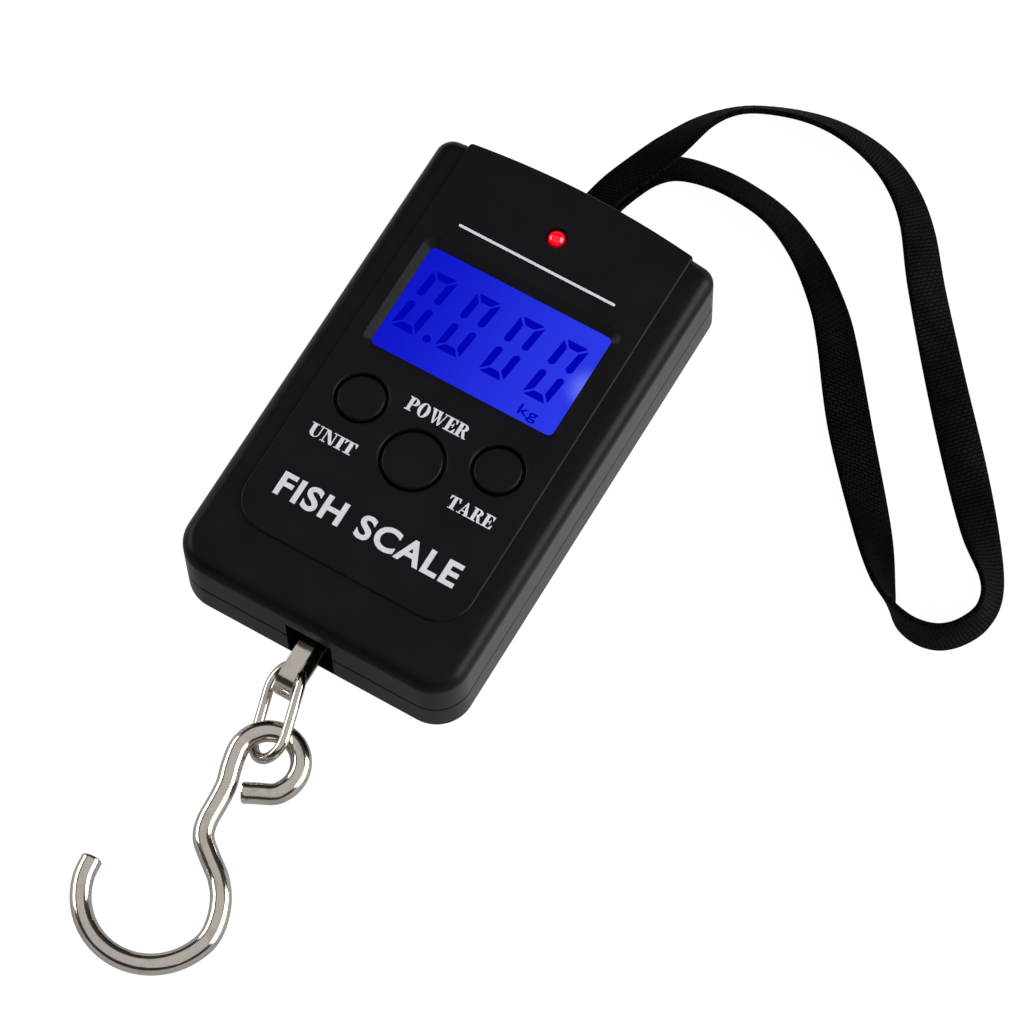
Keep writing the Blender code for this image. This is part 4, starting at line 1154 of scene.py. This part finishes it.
def area_light(name, place, target, size, power, colour=(1.0, 1.0, 1.0)):
    data = bpy.data.lights.new(name, "AREA")
    data.shape = "RECTANGLE"
    data.size, data.size_y = size
    data.energy = power
    data.color = colour
    lamp_object = bpy.data.objects.new(name, data)
    bpy.context.scene.collection.objects.link(lamp_object)
    lamp_object.location = place
    lamp_object.rotation_euler = (Vector(target) - Vector(place)).to_track_quat("-Z", "Y").to_euler()
    lamp_object.visible_camera = False


def make_floor():
    """A white table that hardly shows shadows. In reflections and bounced light it carries a painted shade in
    front of the case's lower wall and round the hook.
    """
    bm = bmesh.new()
    bmesh.ops.create_grid(bm, x_segments=1, y_segments=1, size=FLOOR_SIZE_M)
    bmesh.ops.translate(bm, verts=bm.verts, vec=(0.0, 0.0, FLOOR_Z_M))
    floor = loose_object("floor", bm)
    mat, tree, shader = new_material("floor_white", (0.60, 0.60, 0.60), 0.8, Specular_IOR_Level=0.1)
    set_inputs(shader, Emission_Color=(1.0, 1.0, 1.0, 1.0))
    # Painted shade: below y = -34 mm the floor darkens in reflections and bounced light, to 0.45 of its
    # brightness past y = -48 mm. This covers the ground in front of the case's lower wall and under the
    # hanger, link and hook.
    painted_shade_dimming = spread(tree, on_axis(tree, coords(tree), "Y"), 0.45, 1.0, -0.048, -0.034)
    seen = node(tree, "ShaderNodeLightPath").outputs["Is Camera Ray"]
    mirrored = math_node(tree, "MULTIPLY", painted_shade_dimming, 0.35)
    glow = math_node(tree, "MAXIMUM", mirrored, spread(tree, seen, 0.0, 0.97))
    tree.links.new(glow, shader.inputs["Emission Strength"])
    shaded = mix(tree, painted_shade_dimming, (0.0, 0.0, 0.0), (0.70, 0.70, 0.70))
    paint(tree, shader, seen, shaded, (0.10, 0.10, 0.10))
    floor.data.materials.append(mat)


def make_stage():
    make_floor()
    world = bpy.data.worlds.new("studio")
    world.use_nodes = True
    tree = world.node_tree
    background = tree.nodes["Background"]
    height = on_axis(tree, node(tree, "ShaderNodeTexCoord").outputs["Generated"], "Z")
    ramp = node(tree, "ShaderNodeValToRGB")
    while len(ramp.color_ramp.elements) < len(SKY_STOPS):
        ramp.color_ramp.elements.new(0.5)
    for element, (place, grey) in zip(ramp.color_ramp.elements, SKY_STOPS):
        element.position = place
        element.color = (grey, grey * 0.98, grey * 0.95, 1.0)
    tree.links.new(height, ramp.inputs["Fac"])
    tree.links.new(ramp.outputs["Color"], background.inputs["Color"])
    bpy.context.scene.world = world
    area_light("overhead_panel", (0.20, -0.30, 0.80), (0.20, -0.30, 0.0), (1.9, 1.5), 4.8, (1.0, 0.985, 0.97))
    area_light("right_box", (0.60, 0.22, 0.26), (0.0, 0.0, 0.0), (0.66, 0.42), 7.3)
    area_light("left_box", (-0.70, -0.10, 0.26), (0.0, 0.0, 0.0), (0.60, 0.30), 3.0)
    bpy.context.scene.view_settings.view_transform = "Standard"


# ---------------- the object

make_camera()
NICKEL = nickel_plate()
strap(woven_tape())
PLASTIC = moulded_plastic("case_black", (0.0058, 0.0056, 0.0078), 0.34, 0.07, 3800.0)
KEYS = moulded_plastic("button_black", (0.0060, 0.0058, 0.0080), 0.32, 0.07, 4200.0)
INK = printed_ink()
front_case(PLASTIC)
back_case(PLASTIC)
for button in BUTTONS:
    button_cap(button, KEYS)
lamp(lamp_lens())
display(display_glow(), display_segment())
printing(INK)
hanger(NICKEL)
chain_link(NICKEL)
hook(NICKEL)
dress_cad_nodes(PLASTIC)
make_stage()
